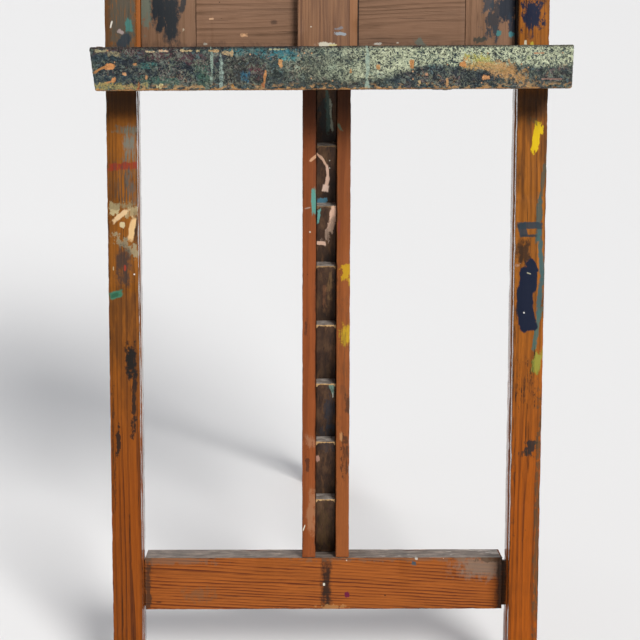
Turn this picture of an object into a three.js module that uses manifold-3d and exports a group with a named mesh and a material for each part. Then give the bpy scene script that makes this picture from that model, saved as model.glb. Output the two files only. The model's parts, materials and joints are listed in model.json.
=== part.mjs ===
// Floor-standing studio ratchet easel in old pine, millimetres, +Z up.
// X runs to the right, Y runs from front to back. The front frame leans back over a folding rear leg.
// Most pieces are laid out in the leaning frame's own axes: x across, y back from the front of the
// side legs, z up along the legs from their toes.

import * as THREE from 'three';
import { mergeVertices } from 'three/addons/utils/BufferGeometryUtils.js';
import Module from 'manifold-3d';

const wasm = await Module();
wasm.setup();

// ---- driving dimensions ----
const GAP = 0.3; // clearance between touching pieces
const LEAN = THREE.MathUtils.degToRad(8); // the front frame behind vertical
const REAR_SPLAY = THREE.MathUtils.degToRad(16); // the rear leg behind vertical

const FRAME_WIDTH = 576;
const LEG = { width: 40, depth: 50, length: 1730 };
const INNER = FRAME_WIDTH / 2 - LEG.width; // half the width between the legs
const GROOVE = { front: 14, back: 24, deep: 7, foot: 60 };

const PITCH = 80.5; // height from one ratchet ledge to the next
const PITCHES = 18;
const RAIL_FRONT = 38;
const RAIL_BACK = 80;
const STRETCHER = { bottom: 112, height: 73, rightGap: 4 };
const RAIL_BOTTOM = STRETCHER.bottom + STRETCHER.height + GAP;
const RAIL_TOP = RAIL_BOTTOM + PITCHES * PITCH;
const CROSSBAR = { bottom: RAIL_TOP + GAP, height: 75, rightGap: GAP };
const TENON = { front: 39.5, thick: 6, long: 27, shoulder: 5 };

const GUIDE_WIDTH = 18.5;
const CHANNEL = 27.5;
const LEDGE_TIP = 45;
const LEDGE_ROOT = 66;
const LEDGE_NOSE = 4;
const REST_NOTCH = 8; // the ledge that the pawl stands on
const BACK_BOARD = { width: 62, thick: 10, bottom: 100, top: CROSSBAR.bottom + 36 };

const PANEL = { left: -243, right: 246, front: 18, thick: 14, bottom: 840, top: 1374 };
const SEAM_LEFT = -171; // where the end cleats meet the planks
const SEAM_RIGHT = 180;
const PLANKS = 4;
const PLANK_TONGUE = { front: 22, thick: 6, long: 10 };
const RUNNER_TONGUE = { front: 15.6, back: 22.4, reach: 6.3 };
const RUNNER_BACK = 36.5;

const MAST = { width: 78, thick: 17.7, bottom: 840, top: 1594 };
const MAST_REBATE = { wide: 11, deep: 8 };
const MAST_GROOVE = { front: 11, back: 15, deep: 4 };

const TRAY = { left: -299, right: 309, bottom: 818, front: -70, back: -0.8 };
const LIP_TILT = THREE.MathUtils.degToRad(0.5);
const LIP = { height: 55, thick: 15, slantLeft: 5.5, slantRight: 2, round: 3, tilt: LIP_TILT };
const TRAY_FLOOR = { lift: 5.6, thick: 10 }; // how far its underside is above the lip's lower edge
const TRAY_END = { thick: 9, height: 38 };
const TRAY_RAIL = { thick: 13, height: 34 };
const BRACKET = { x: 150, width: 24, thick: 2, reach: 48, rise: 51 };

const PAWL = { length: 95, width: 14, thick: 5, pivotY: 39, eye: 4.5, pin: 2.2 };
const PAWL_TAIL = [[-26, 7], [-34, 1], [-35, -4], [-32, -4.5], [-24, 3]]; // (y, height over the foot)
const PAWL_NOTCH = { half: 12, height: 20 };
const PAWL_BRACKET = { width: 25, thick: 2, ear: 3, height: 44 };

const CLAMP = { bottom: 1450, height: 70, width: 104, front: -22, back: 17.2 };
const CLAMP_TONGUE = 4;
const JAW = { width: 60, front: -60, thick: 14, lip: 12, drop: 14 };
const KNOB = { radius: 16, thick: 18, front: -54, shaft: 4 };

const HINGE_BLOCK = { width: 76, thick: 14, bottom: CROSSBAR.bottom + 40, top: CROSSBAR.bottom + 74 };
const HINGE = { pinY: 98.5, pinZ: CROSSBAR.bottom + 44, barrel: 3, pin: 1.4, leaf: 2, height: 50, width: 60 };
const REAR_LEG = { width: 45, thick: 32, head: 12, standoff: 3.6 };

const SCREW = { head: 4.5, dome: 2.2, shank: 1.9 };
const ROUND_STEPS = 14;

// ---- materials ----
const finish = (color, roughness, metalness = 0) => new THREE.MeshStandardMaterial({ color, roughness, metalness });
const orangePine = () => finish(0x9c5a24, 0.6);
const redPine = () => finish(0x8a4e28, 0.55);
const darkOak = () => finish(0x3a2e24, 0.8);
const brownPine = () => finish(0x86634a, 0.7);
const paintedPine = () => finish(0x4c5148, 0.5);
const iron = () => finish(0x2b2826, 0.55, 0.9);
const steel = () => finish(0x8d8a84, 0.4, 1.0);

// ---- solids ----
function solidOf(geometry) {
  const bare = geometry.index ? geometry.toNonIndexed() : geometry.clone();
  bare.deleteAttribute('normal');
  bare.deleteAttribute('uv');
  const merged = mergeVertices(bare, 1e-3);
  return new wasm.Manifold(
    new wasm.Mesh({
      numProp: 3,
      vertProperties: merged.attributes.position.array,
      triVerts: new Uint32Array(merged.index.array),
    }),
  );
}

function geometryOf(solid) {
  const mesh = solid.getMesh();
  const geometry = new THREE.BufferGeometry();
  geometry.setAttribute('position', new THREE.BufferAttribute(mesh.vertProperties, 3));
  geometry.setIndex(new THREE.BufferAttribute(mesh.triVerts, 1));
  geometry.computeVertexNormals();
  return geometry;
}

const cut = (geometry, cutters) =>
  geometryOf(cutters.reduce((solid, cutter) => solid.subtract(solidOf(cutter)), solidOf(geometry)));
const join = (first, ...others) =>
  geometryOf(others.reduce((solid, other) => solid.add(solidOf(other)), solidOf(first)));

function block(x0, x1, y0, y1, z0, z1) {
  const box = new THREE.BoxGeometry(x1 - x0, y1 - y0, z1 - z0);
  return box.translate((x0 + x1) / 2, (y0 + y1) / 2, (z0 + z1) / 2);
}

const shapeOf = (outline) => new THREE.Shape(outline.map(([a, b]) => new THREE.Vector2(a, b)));
const extrude = (shape, depth) =>
  new THREE.ExtrudeGeometry(shape, { depth, bevelEnabled: false, curveSegments: 8 });

// A plan outline of (x, y) points standing from z0 to z1.
const postOf = (outline, z0, z1) => extrude(shapeOf(outline), z1 - z0).translate(0, 0, z0);
// A side outline of (y, z) points running from x0 to x1.
const alongX = new THREE.Matrix4().makeBasis(
  new THREE.Vector3(0, 1, 0),
  new THREE.Vector3(0, 0, 1),
  new THREE.Vector3(1, 0, 0),
);
const barOf = (outline, x0, x1) =>
  extrude(shapeOf(outline), x1 - x0).applyMatrix4(alongX).translate(x0, 0, 0);

// A turned profile of (radius, height) points, closed on its axis, standing along +Z.
const turned = (profile) =>
  new THREE.LatheGeometry(profile.map(([r, z]) => new THREE.Vector2(r, z)), ROUND_STEPS).rotateX(Math.PI / 2);
const rod = (radius, length) => turned([[0, 0], [radius, 0], [radius, length], [0, length]]);

const FACING = {
  front: new THREE.Matrix4().makeRotationX(Math.PI / 2),
  back: new THREE.Matrix4().makeRotationX(-Math.PI / 2),
  down: new THREE.Matrix4().makeRotationX(Math.PI),
  right: new THREE.Matrix4().makeRotationY(Math.PI / 2),
};
const turnTo = (geometry, facing, x, y, z) => geometry.applyMatrix4(FACING[facing]).translate(x, y, z);

// A round-headed wood screw: its head seats at (x, y, z) and faces the way it is told.
function screw(facing, x, y, z, length) {
  const profile = [
    [0, -length],
    [SCREW.shank * 0.4, -length],
    [SCREW.shank, 4 - length],
    [SCREW.shank, 0],
    [SCREW.head, 0],
    [SCREW.head * 0.9, SCREW.dome * 0.55],
    [SCREW.head * 0.55, SCREW.dome * 0.9],
    [0, SCREW.dome],
  ];
  return turnTo(turned(profile), facing, x, y, z);
}
const screwHole = (facing, x, y, z, length) =>
  turnTo(rod(SCREW.shank + GAP, length + 2).translate(0, 0, -length - 1), facing, x, y, z);

// ---- scene graph ----
const easel = new THREE.Group();
const frame = new THREE.Group();
frame.rotation.x = -LEAN;
easel.add(frame);

function place(group, name, geometry, material) {
  const mesh = new THREE.Mesh(geometry, material);
  mesh.name = name;
  group.add(mesh);
  return mesh;
}

// ---- front frame ----
const crossPieces = [
  { name: 'bottom_stretcher', ...STRETCHER },
  { name: 'top_crossbar', ...CROSSBAR },
];

// A side leg: its toe is cut level with the floor, its inner face has the long groove that guides the
// carriage, and two mortises take the tenons of the cross pieces.
function sideLeg(side) {
  const inner = side * INNER;
  const outer = side * (INNER + LEG.width);
  const sides = [
    [0, 0],
    [LEG.depth, LEG.depth * Math.tan(LEAN)],
    [LEG.depth, LEG.length],
    [0, LEG.length],
  ];
  const body = barOf(sides, Math.min(inner, outer), Math.max(inner, outer));
  const inward = (depth) => [inner - side * 5, inner + side * depth].sort((a, b) => a - b);
  const [g0, g1] = inward(GROOVE.deep);
  const groove = block(g0, g1, GROOVE.front, GROOVE.back, GROOVE.foot, LEG.length + 5);
  const [m0, m1] = inward(TENON.long + 1);
  const mortises = crossPieces.map((piece) =>
    block(
      m0,
      m1,
      TENON.front - GAP,
      TENON.front + TENON.thick + GAP,
      piece.bottom + TENON.shoulder - GAP,
      piece.bottom + piece.height - TENON.shoulder + GAP,
    ),
  );
  return cut(body, [groove, ...mortises]);
}

// A cross piece thicker than its tenons, which stand near its front face. The stretcher has shrunk away
// from the right leg, so its shoulder stands open there.
function crossPiece({ bottom, height, rightGap }, holes) {
  const left = -INNER + GAP;
  const right = INNER - rightGap;
  const reach = INNER + TENON.long;
  const low = bottom + TENON.shoulder;
  const high = bottom + height - TENON.shoulder;
  const tenon = (x0, x1) => block(x0, x1, TENON.front, TENON.front + TENON.thick, low, high);
  const body = block(left, right, RAIL_FRONT, RAIL_BACK, bottom, bottom + height);
  return cut(join(body, tenon(-reach, left + 1), tenon(right - 1, reach)), holes);
}

// The ratchet rack: a ledge every pitch, level when the frame leans, with its face cut back below it.
function rackOutline() {
  const rise = (LEDGE_ROOT - LEDGE_TIP) * Math.tan(LEAN);
  const outline = [
    [RAIL_BACK, RAIL_TOP],
    [RAIL_BACK, RAIL_BOTTOM],
    [LEDGE_ROOT, RAIL_BOTTOM],
  ];
  for (let i = 1; i < PITCHES; i += 1) {
    const tip = RAIL_BOTTOM + i * PITCH;
    outline.push([LEDGE_TIP, tip - LEDGE_NOSE], [LEDGE_TIP, tip], [LEDGE_ROOT, tip + rise]);
  }
  outline.push([LEDGE_TIP, RAIL_TOP - LEDGE_NOSE], [LEDGE_TIP, RAIL_TOP]);
  return outline.reverse();
}

place(frame, 'left_leg', sideLeg(-1), orangePine());
place(frame, 'right_leg', sideLeg(1), orangePine());

const boardBack = RAIL_BACK + GAP + BACK_BOARD.thick;
const boardScrewLength = 32;
const boardScrews = [
  { x: -18, z: STRETCHER.bottom + 25 },
  { x: 18, z: STRETCHER.bottom + 45 },
  { x: -18, z: CROSSBAR.bottom + 15 },
  { x: 18, z: CROSSBAR.bottom + 27 },
];
const boardScrewHoles = boardScrews.map(({ x, z }) => screwHole('back', x, boardBack, z, boardScrewLength));

crossPieces.forEach((piece) => place(frame, piece.name, crossPiece(piece, boardScrewHoles), orangePine()));

[
  ['ratchet_guide_left', -1],
  ['ratchet_guide_right', 1],
].forEach(([name, side]) => {
  const edges = [side * (CHANNEL / 2), side * (CHANNEL / 2 + GUIDE_WIDTH)].sort((a, b) => a - b);
  place(frame, name, block(...edges, RAIL_FRONT, RAIL_BACK, RAIL_BOTTOM, RAIL_TOP), redPine());
});
const rackHalf = CHANNEL / 2 - GAP;
place(frame, 'ratchet_rack', barOf(rackOutline(), -rackHalf, rackHalf), darkOak());

const backBoard = block(
  -BACK_BOARD.width / 2,
  BACK_BOARD.width / 2,
  RAIL_BACK + GAP,
  boardBack,
  BACK_BOARD.bottom,
  BACK_BOARD.top,
);
place(frame, 'ratchet_back_board', cut(backBoard, boardScrewHoles), brownPine());
boardScrews.forEach(({ x, z }, i) =>
  place(frame, `board_screw_${i + 1}`, screw('back', x, boardBack, z, boardScrewLength - 2), steel()),
);

// ---- carriage: panel, mast and tray, sliding in the leg grooves ----
const panelBack = PANEL.front + PANEL.thick;
const tongueBack = PLANK_TONGUE.front + PLANK_TONGUE.thick;

// An upright end board of the panel, grooved along the edge that takes the planks' tongues.
function cleat(outerX, seamX) {
  const inward = Math.sign(seamX - outerX);
  const edge = seamX - inward * GAP;
  const floor = seamX - inward * (PLANK_TONGUE.long + GAP);
  const outline = [
    [outerX, PANEL.front],
    [edge, PANEL.front],
    [edge, PLANK_TONGUE.front - GAP],
    [floor, PLANK_TONGUE.front - GAP],
    [floor, tongueBack + GAP],
    [edge, tongueBack + GAP],
    [edge, panelBack],
    [outerX, panelBack],
  ];
  return postOf(inward > 0 ? outline : outline.reverse(), PANEL.bottom, PANEL.top);
}
place(frame, 'panel_left_cleat', cleat(PANEL.left, SEAM_LEFT), brownPine());
place(frame, 'panel_right_cleat', cleat(PANEL.right, SEAM_RIGHT), brownPine());

const bracketScrewLength = 9;
const bracketScrewZ = TRAY.bottom + 38;
const bracketScrewY = -30;
const leafFront = PANEL.front - GAP - BRACKET.thick;
const bracketSides = [
  ['left', -BRACKET.x],
  ['right', BRACKET.x],
];
const panelScrewHoles = bracketSides.map(([, x]) =>
  screwHole('front', x, leafFront, bracketScrewZ, bracketScrewLength),
);

// A plank across the panel with a tongue at each end. The lowest one is notched for the pawl.
const plankPitch = (PANEL.top - PANEL.bottom) / PLANKS;
for (let i = 0; i < PLANKS; i += 1) {
  const bottom = PANEL.bottom + i * plankPitch;
  const top = bottom + plankPitch - GAP;
  const board = block(SEAM_LEFT, SEAM_RIGHT, PANEL.front, panelBack, bottom, top);
  const tongues = block(
    SEAM_LEFT - PLANK_TONGUE.long,
    SEAM_RIGHT + PLANK_TONGUE.long,
    PLANK_TONGUE.front,
    tongueBack,
    bottom,
    top,
  );
  const pawlNotch = block(
    -PAWL_NOTCH.half,
    PAWL_NOTCH.half,
    PANEL.front - 1,
    panelBack + 1,
    PANEL.bottom - 1,
    PANEL.bottom + PAWL_NOTCH.height,
  );
  const whole = join(board, tongues);
  place(frame, `panel_plank_${i + 1}`, i ? whole : cut(whole, [pawlNotch, ...panelScrewHoles]), brownPine());
}

// A runner is screwed behind an end cleat, and its tongue rides in the leg groove.
function runner(side, panelEdge) {
  const face = side * (INNER - 0.6);
  const tip = side * (INNER + RUNNER_TONGUE.reach);
  const inside = panelEdge + side * GAP;
  const flange = panelEdge - side * 20;
  const outline = [
    [inside, RUNNER_TONGUE.front],
    [tip, RUNNER_TONGUE.front],
    [tip, RUNNER_TONGUE.back],
    [face, RUNNER_TONGUE.back],
    [face, RUNNER_BACK],
    [flange, RUNNER_BACK],
    [flange, panelBack + GAP],
    [inside, panelBack + GAP],
  ];
  return postOf(side > 0 ? outline : outline.reverse(), PANEL.bottom + 5, PANEL.top - 5);
}
place(frame, 'runner_left', runner(-1, PANEL.left), orangePine());
place(frame, 'runner_right', runner(1, PANEL.right), darkOak());

// The mast stands in front of the panel. Its right front edge is rebated, and both sides are grooved.
const half = MAST.width / 2;
const mastOutline = [
  [-half, 0],
  [half - MAST_REBATE.wide, 0],
  [half - MAST_REBATE.wide, MAST_REBATE.deep],
  [half, MAST_REBATE.deep],
  [half, MAST_GROOVE.front],
  [half - MAST_GROOVE.deep, MAST_GROOVE.front],
  [half - MAST_GROOVE.deep, MAST_GROOVE.back],
  [half, MAST_GROOVE.back],
  [half, MAST.thick],
  [-half, MAST.thick],
  [-half, MAST_GROOVE.back],
  [-half + MAST_GROOVE.deep, MAST_GROOVE.back],
  [-half + MAST_GROOVE.deep, MAST_GROOVE.front],
  [-half, MAST_GROOVE.front],
];
const trayRailFront = TRAY.back - TRAY_RAIL.thick;
const floorUnder = TRAY.bottom + TRAY_FLOOR.lift;
const floorTop = floorUnder + TRAY_FLOOR.thick;
const mastScrewZ = TRAY.bottom + 36;
const mastScrewLength = 26;
const mastScrewXs = [-22, 22];
const mastScrewHoles = mastScrewXs.map((x) => screwHole('front', x, trayRailFront, mastScrewZ, mastScrewLength));
place(frame, 'mast_board', cut(postOf(mastOutline, MAST.bottom, MAST.top), mastScrewHoles), redPine());
mastScrewXs.forEach((x, i) =>
  place(frame, `mast_screw_${i + 1}`, screw('front', x, trayRailFront, mastScrewZ, mastScrewLength - 2), steel()),
);

// The tray: a thick front lip with slanted ends, nailed on a little askew, a floor, a back rail and two
// end boards.
function lipShape() {
  const shape = new THREE.Shape();
  const { left, right, bottom } = TRAY;
  const top = bottom + LIP.height;
  shape.moveTo(left + LIP.slantLeft + LIP.round, bottom);
  shape.lineTo(right - LIP.slantRight - LIP.round, bottom);
  shape.quadraticCurveTo(right - LIP.slantRight, bottom, right - LIP.slantRight, bottom + LIP.round);
  shape.lineTo(right, top - LIP.round);
  shape.quadraticCurveTo(right, top, right - LIP.round, top);
  shape.lineTo(left + LIP.round, top);
  shape.quadraticCurveTo(left, top, left, top - LIP.round);
  shape.lineTo(left + LIP.slantLeft, bottom + LIP.round);
  shape.quadraticCurveTo(left + LIP.slantLeft, bottom, left + LIP.slantLeft + LIP.round, bottom);
  return shape;
}
const lip = extrude(lipShape(), LIP.thick).applyMatrix4(FACING.front).translate(0, TRAY.front + LIP.thick, 0);
lip.translate(0, 0, -TRAY.bottom).rotateY(-LIP.tilt).translate(0, 0, TRAY.bottom);
place(frame, 'tray_lip', lip, paintedPine());

const endInset = LIP.slantLeft + 1;
const insideFront = TRAY.front + LIP.thick + GAP;
const floorLeft = TRAY.left + endInset;
const floorRight = TRAY.right - endInset;
const floorScrewHoles = bracketSides.map(([, x]) =>
  screwHole('down', x, bracketScrewY, floorUnder - GAP - BRACKET.thick, bracketScrewLength),
);
const floorBoard = block(floorLeft, floorRight, insideFront, TRAY.back, floorUnder, floorTop);
place(frame, 'tray_floor', cut(floorBoard, floorScrewHoles), paintedPine());
const trayRail = block(
  floorLeft + TRAY_END.thick + GAP,
  floorRight - TRAY_END.thick - GAP,
  trayRailFront,
  TRAY.back,
  floorTop + GAP,
  floorTop + TRAY_RAIL.height,
);
place(frame, 'tray_back_rail', cut(trayRail, mastScrewHoles), paintedPine());
[
  ['tray_end_left', floorLeft],
  ['tray_end_right', floorRight - TRAY_END.thick],
].forEach(([name, x]) => {
  const z = floorTop + GAP;
  const end = block(x, x + TRAY_END.thick, insideFront, TRAY.back, z, z + TRAY_END.height);
  place(frame, name, end, paintedPine());
});

// Two iron angle brackets carry the tray on the face of the panel.
bracketSides.forEach(([name, x]) => {
  const bearing = floorUnder - GAP;
  const under = bearing - BRACKET.thick;
  const outline = [
    [TRAY.back - BRACKET.reach, under],
    [leafFront + BRACKET.thick, under],
    [leafFront + BRACKET.thick, under + BRACKET.rise],
    [leafFront, under + BRACKET.rise],
    [leafFront, bearing],
    [TRAY.back - BRACKET.reach, bearing],
  ];
  const angle = barOf(outline, x - BRACKET.width / 2, x + BRACKET.width / 2);
  const holes = [
    screwHole('front', x, leafFront, bracketScrewZ, bracketScrewLength),
    screwHole('down', x, bracketScrewY, under, bracketScrewLength),
  ];
  place(frame, `tray_bracket_${name}`, cut(angle, holes), iron());
  const panelScrew = screw('front', x, leafFront, bracketScrewZ, bracketScrewLength - 1);
  const floorScrew = screw('down', x, bracketScrewY, under, bracketScrewLength - 1);
  place(frame, `bracket_panel_screw_${name}`, panelScrew, steel());
  place(frame, `bracket_floor_screw_${name}`, floorScrew, steel());
});

// ---- pawl: hangs plumb from its pin, so its own weight keeps its foot on a ledge ----
const restLedge = RAIL_BOTTOM + REST_NOTCH * PITCH;
const footY = PAWL.pivotY + PAWL.length * Math.sin(LEAN);
const ledgeZ = restLedge + (footY - LEDGE_TIP) * Math.tan(LEAN);
const pivotZ = ledgeZ + GAP + PAWL.length * Math.cos(LEAN);

const pawlBracketBack = LEDGE_TIP - 1.5;
const plateZ = pivotZ - PAWL_BRACKET.height / 2;
const pawlPlate = block(
  -PAWL_BRACKET.width / 2,
  PAWL_BRACKET.width / 2,
  panelBack + GAP,
  panelBack + GAP + PAWL_BRACKET.thick,
  plateZ,
  plateZ + PAWL_BRACKET.height,
);
const ears = [-1, 1].map((side) => {
  const edges = [side * (PAWL.width / 2 + 1), side * (PAWL.width / 2 + 1 + PAWL_BRACKET.ear)];
  edges.sort((a, b) => a - b);
  return block(...edges, panelBack + 1, pawlBracketBack, pivotZ - 9, pivotZ + 9);
});
const pinLength = PAWL.width + 2 * PAWL_BRACKET.ear + 4;
const pinHole = turnTo(rod(PAWL.pin + GAP, 40), 'right', -20, PAWL.pivotY, pivotZ);
place(frame, 'pawl_bracket', cut(join(pawlPlate, ...ears), [pinHole]), iron());
const pawlPin = turnTo(rod(PAWL.pin, pinLength), 'right', -pinLength / 2, PAWL.pivotY, pivotZ);
place(frame, 'pawl_pin', pawlPin, steel());

const plumb = new THREE.Group();
plumb.position.set(0, PAWL.pivotY, pivotZ);
plumb.rotation.x = LEAN;
frame.add(plumb);

// Its side outline: a round eye, a flat strut down to the foot, and a finger tail curling forward.
function pawlShape() {
  const { eye, length, thick } = PAWL;
  const shape = new THREE.Shape();
  const neck = Math.sqrt(eye * eye - (thick / 2) ** 2);
  shape.moveTo(thick / 2, -length);
  shape.lineTo(thick / 2, -neck);
  shape.absarc(0, 0, eye, Math.atan2(-neck, thick / 2), Math.atan2(-neck, -thick / 2) + 2 * Math.PI, false);
  shape.lineTo(-thick / 2, PAWL_TAIL[0][1] - length);
  PAWL_TAIL.forEach(([y, z]) => shape.lineTo(y, z - length));
  shape.lineTo(-thick / 2, 3 - length);
  shape.lineTo(-thick / 2, -length);
  const hole = new THREE.Path();
  hole.absarc(0, 0, PAWL.pin + GAP, 0, 2 * Math.PI, true);
  shape.holes.push(hole);
  return shape;
}
const pawl = extrude(pawlShape(), PAWL.width).applyMatrix4(alongX).translate(-PAWL.width / 2, 0, 0);
place(plumb, 'pawl', pawl, iron());

// ---- canvas clamp: rides on the mast and is locked by a hand screw ----
const clampTop = CLAMP.bottom + CLAMP.height;
const clampInside = half + 0.6;
const tongueIn = clampInside - CLAMP_TONGUE;
const clampOutline = [
  [-CLAMP.width / 2, CLAMP.front],
  [CLAMP.width / 2, CLAMP.front],
  [CLAMP.width / 2, CLAMP.back],
  [clampInside, CLAMP.back],
  [clampInside, MAST_GROOVE.back - 0.4],
  [tongueIn, MAST_GROOVE.back - 0.4],
  [tongueIn, MAST_GROOVE.front + 0.4],
  [clampInside, MAST_GROOVE.front + 0.4],
  [clampInside, -0.6],
  [-clampInside, -0.6],
  [-clampInside, MAST_GROOVE.front + 0.4],
  [-tongueIn, MAST_GROOVE.front + 0.4],
  [-tongueIn, MAST_GROOVE.back - 0.4],
  [-clampInside, MAST_GROOVE.back - 0.4],
  [-clampInside, CLAMP.back],
  [-CLAMP.width / 2, CLAMP.back],
];
const knobZ = clampTop - 24;
const shaftHole = turnTo(rod(KNOB.shaft + GAP, 40), 'back', 0, CLAMP.front - 10, knobZ);
place(frame, 'clamp_block', cut(postOf(clampOutline, CLAMP.bottom, clampTop), [shaftHole]), redPine());

const jawOutline = [
  [CLAMP.front - GAP, CLAMP.bottom],
  [CLAMP.front - GAP, CLAMP.bottom + JAW.thick],
  [JAW.front, CLAMP.bottom + JAW.thick],
  [JAW.front, CLAMP.bottom - JAW.drop],
  [JAW.front + JAW.lip, CLAMP.bottom - JAW.drop],
  [JAW.front + JAW.lip, CLAMP.bottom],
].reverse();
place(frame, 'clamp_jaw', barOf(jawOutline, -JAW.width / 2, JAW.width / 2), redPine());

// A lobed wooden hand knob with a blind hole for the end of the screw.
function knobShape() {
  const shape = new THREE.Shape();
  const steps = 48;
  for (let i = 0; i < steps; i += 1) {
    const angle = (i / steps) * 2 * Math.PI;
    const radius = KNOB.radius * (0.92 + 0.08 * Math.cos(6 * angle));
    const point = [radius * Math.cos(angle), radius * Math.sin(angle)];
    if (i) shape.lineTo(...point);
    else shape.moveTo(...point);
  }
  return shape;
}
const knobBack = KNOB.front + KNOB.thick;
const knobBody = extrude(knobShape(), KNOB.thick).applyMatrix4(FACING.front).translate(0, knobBack, knobZ);
const screwFront = KNOB.front + 6;
const socket = turnTo(rod(KNOB.shaft + GAP, 40), 'back', 0, screwFront - GAP, knobZ);
place(frame, 'clamp_knob', cut(knobBody, [socket]), darkOak());
const clampScrew = turnTo(rod(KNOB.shaft, -0.9 - screwFront), 'back', 0, screwFront, knobZ);
place(frame, 'clamp_screw', clampScrew, steel());

// ---- rear leg on a butt hinge behind the crossbar ----
const blockBack = RAIL_BACK + GAP + HINGE_BLOCK.thick;
const leafScrewLength = 11;
const leafScrewXs = [-20, 20];
const fixedLeafBack = blockBack + GAP + HINGE.leaf;
const fixedScrewZ = HINGE.pinZ + 20;
const fixedHoles = leafScrewXs.map((x) => screwHole('back', x, fixedLeafBack, fixedScrewZ, leafScrewLength));
const hingeBlock = block(
  -HINGE_BLOCK.width / 2,
  HINGE_BLOCK.width / 2,
  RAIL_BACK + GAP,
  blockBack,
  HINGE_BLOCK.bottom,
  HINGE_BLOCK.top,
);
place(frame, 'hinge_block', cut(hingeBlock, fixedHoles), orangePine());

const knuckle = HINGE.width / 3;
const knuckleRod = (x0, x1) => turnTo(rod(HINGE.barrel, x1 - x0), 'right', x0, 0, 0);
const hingePinHole = turnTo(rod(HINGE.pin + GAP, HINGE.width + 10), 'right', -HINGE.width / 2 - 5, 0, 0);

const fixedPlate = block(
  -HINGE.width / 2,
  HINGE.width / 2,
  blockBack + GAP - HINGE.pinY,
  fixedLeafBack - HINGE.pinY,
  -2,
  HINGE_BLOCK.top - HINGE.pinZ - 1,
);
const sweptGap = block(
  -knuckle / 2 - GAP,
  knuckle / 2 + GAP,
  -HINGE.barrel - GAP,
  HINGE.barrel + 5,
  -HINGE.barrel - GAP,
  HINGE.barrel + GAP,
);
const fixedLeaf = cut(
  join(
    cut(fixedPlate, [sweptGap]),
    knuckleRod(-HINGE.width / 2, -knuckle / 2 - GAP),
    knuckleRod(knuckle / 2 + GAP, HINGE.width / 2),
  ),
  [hingePinHole],
).translate(0, HINGE.pinY, HINGE.pinZ);
place(frame, 'hinge_fixed_leaf', cut(fixedLeaf, fixedHoles), iron());
const hingePin = turnTo(rod(HINGE.pin, HINGE.width + 4), 'right', -HINGE.width / 2 - 2, HINGE.pinY, HINGE.pinZ);
place(frame, 'hinge_pin', hingePin, steel());
leafScrewXs.forEach((x, i) => {
  const geometry = screw('back', x, fixedLeafBack, fixedScrewZ, leafScrewLength - 1);
  place(frame, `hinge_screw_${i + 1}`, geometry, steel());
});

// The rear leg hangs in axes of its own: z along it from the hinge pin, y through its thickness.
const pinPlace = new THREE.Vector3(0, HINGE.pinY, HINGE.pinZ).applyAxisAngle(new THREE.Vector3(1, 0, 0), -LEAN);
const swing = new THREE.Group();
swing.position.copy(pinPlace);
swing.rotation.x = REAR_SPLAY;
easel.add(swing);

const floorAt = (y) => -(pinPlace.z + y * Math.sin(REAR_SPLAY)) / Math.cos(REAR_SPLAY);
const legBack = REAR_LEG.standoff + REAR_LEG.thick;
const rearSides = [
  [REAR_LEG.standoff, floorAt(REAR_LEG.standoff)],
  [legBack, floorAt(legBack)],
  [legBack, REAR_LEG.head],
  [REAR_LEG.standoff, REAR_LEG.head],
];
const movingScrewZ = 16 - HINGE.height;
const movingLeafFront = REAR_LEG.standoff - GAP - HINGE.leaf;
const movingHoles = leafScrewXs.map((x) =>
  screwHole('front', x * 0.6, movingLeafFront, movingScrewZ, leafScrewLength),
);
const rearBody = barOf(rearSides, -REAR_LEG.width / 2, REAR_LEG.width / 2);
place(swing, 'rear_leg', cut(rearBody, movingHoles), orangePine());

const movingPlate = block(
  -REAR_LEG.width / 2,
  REAR_LEG.width / 2,
  movingLeafFront,
  movingLeafFront + HINGE.leaf,
  -HINGE.height,
  -HINGE.barrel - 1,
);
const movingTab = block(-knuckle / 2, knuckle / 2, movingLeafFront, HINGE.barrel, -HINGE.barrel - 2, 0);
const movingLeaf = cut(join(movingPlate, movingTab, knuckleRod(-knuckle / 2, knuckle / 2)), [hingePinHole]);
place(swing, 'hinge_moving_leaf', cut(movingLeaf, movingHoles), iron());
leafScrewXs.forEach((x, i) => {
  const geometry = screw('front', x * 0.6, movingLeafFront, movingScrewZ, leafScrewLength - 1);
  place(swing, `hinge_screw_${i + 3}`, geometry, steel());
});

// ---- the origin is under the middle of the whole easel ----
const bounds = new THREE.Box3().setFromObject(easel, true);
const middle = bounds.getCenter(new THREE.Vector3());
easel.position.set(-middle.x, -middle.y, -bounds.min.z);

export default easel;
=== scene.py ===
"""Looks of the studio ratchet easel: worn boards, paint-stained pine, a thickly painted tray and rusted irons."""

import json
import math

import bmesh
import bpy
import numpy as np
from mathutils import Matrix, Vector, noise


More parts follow.
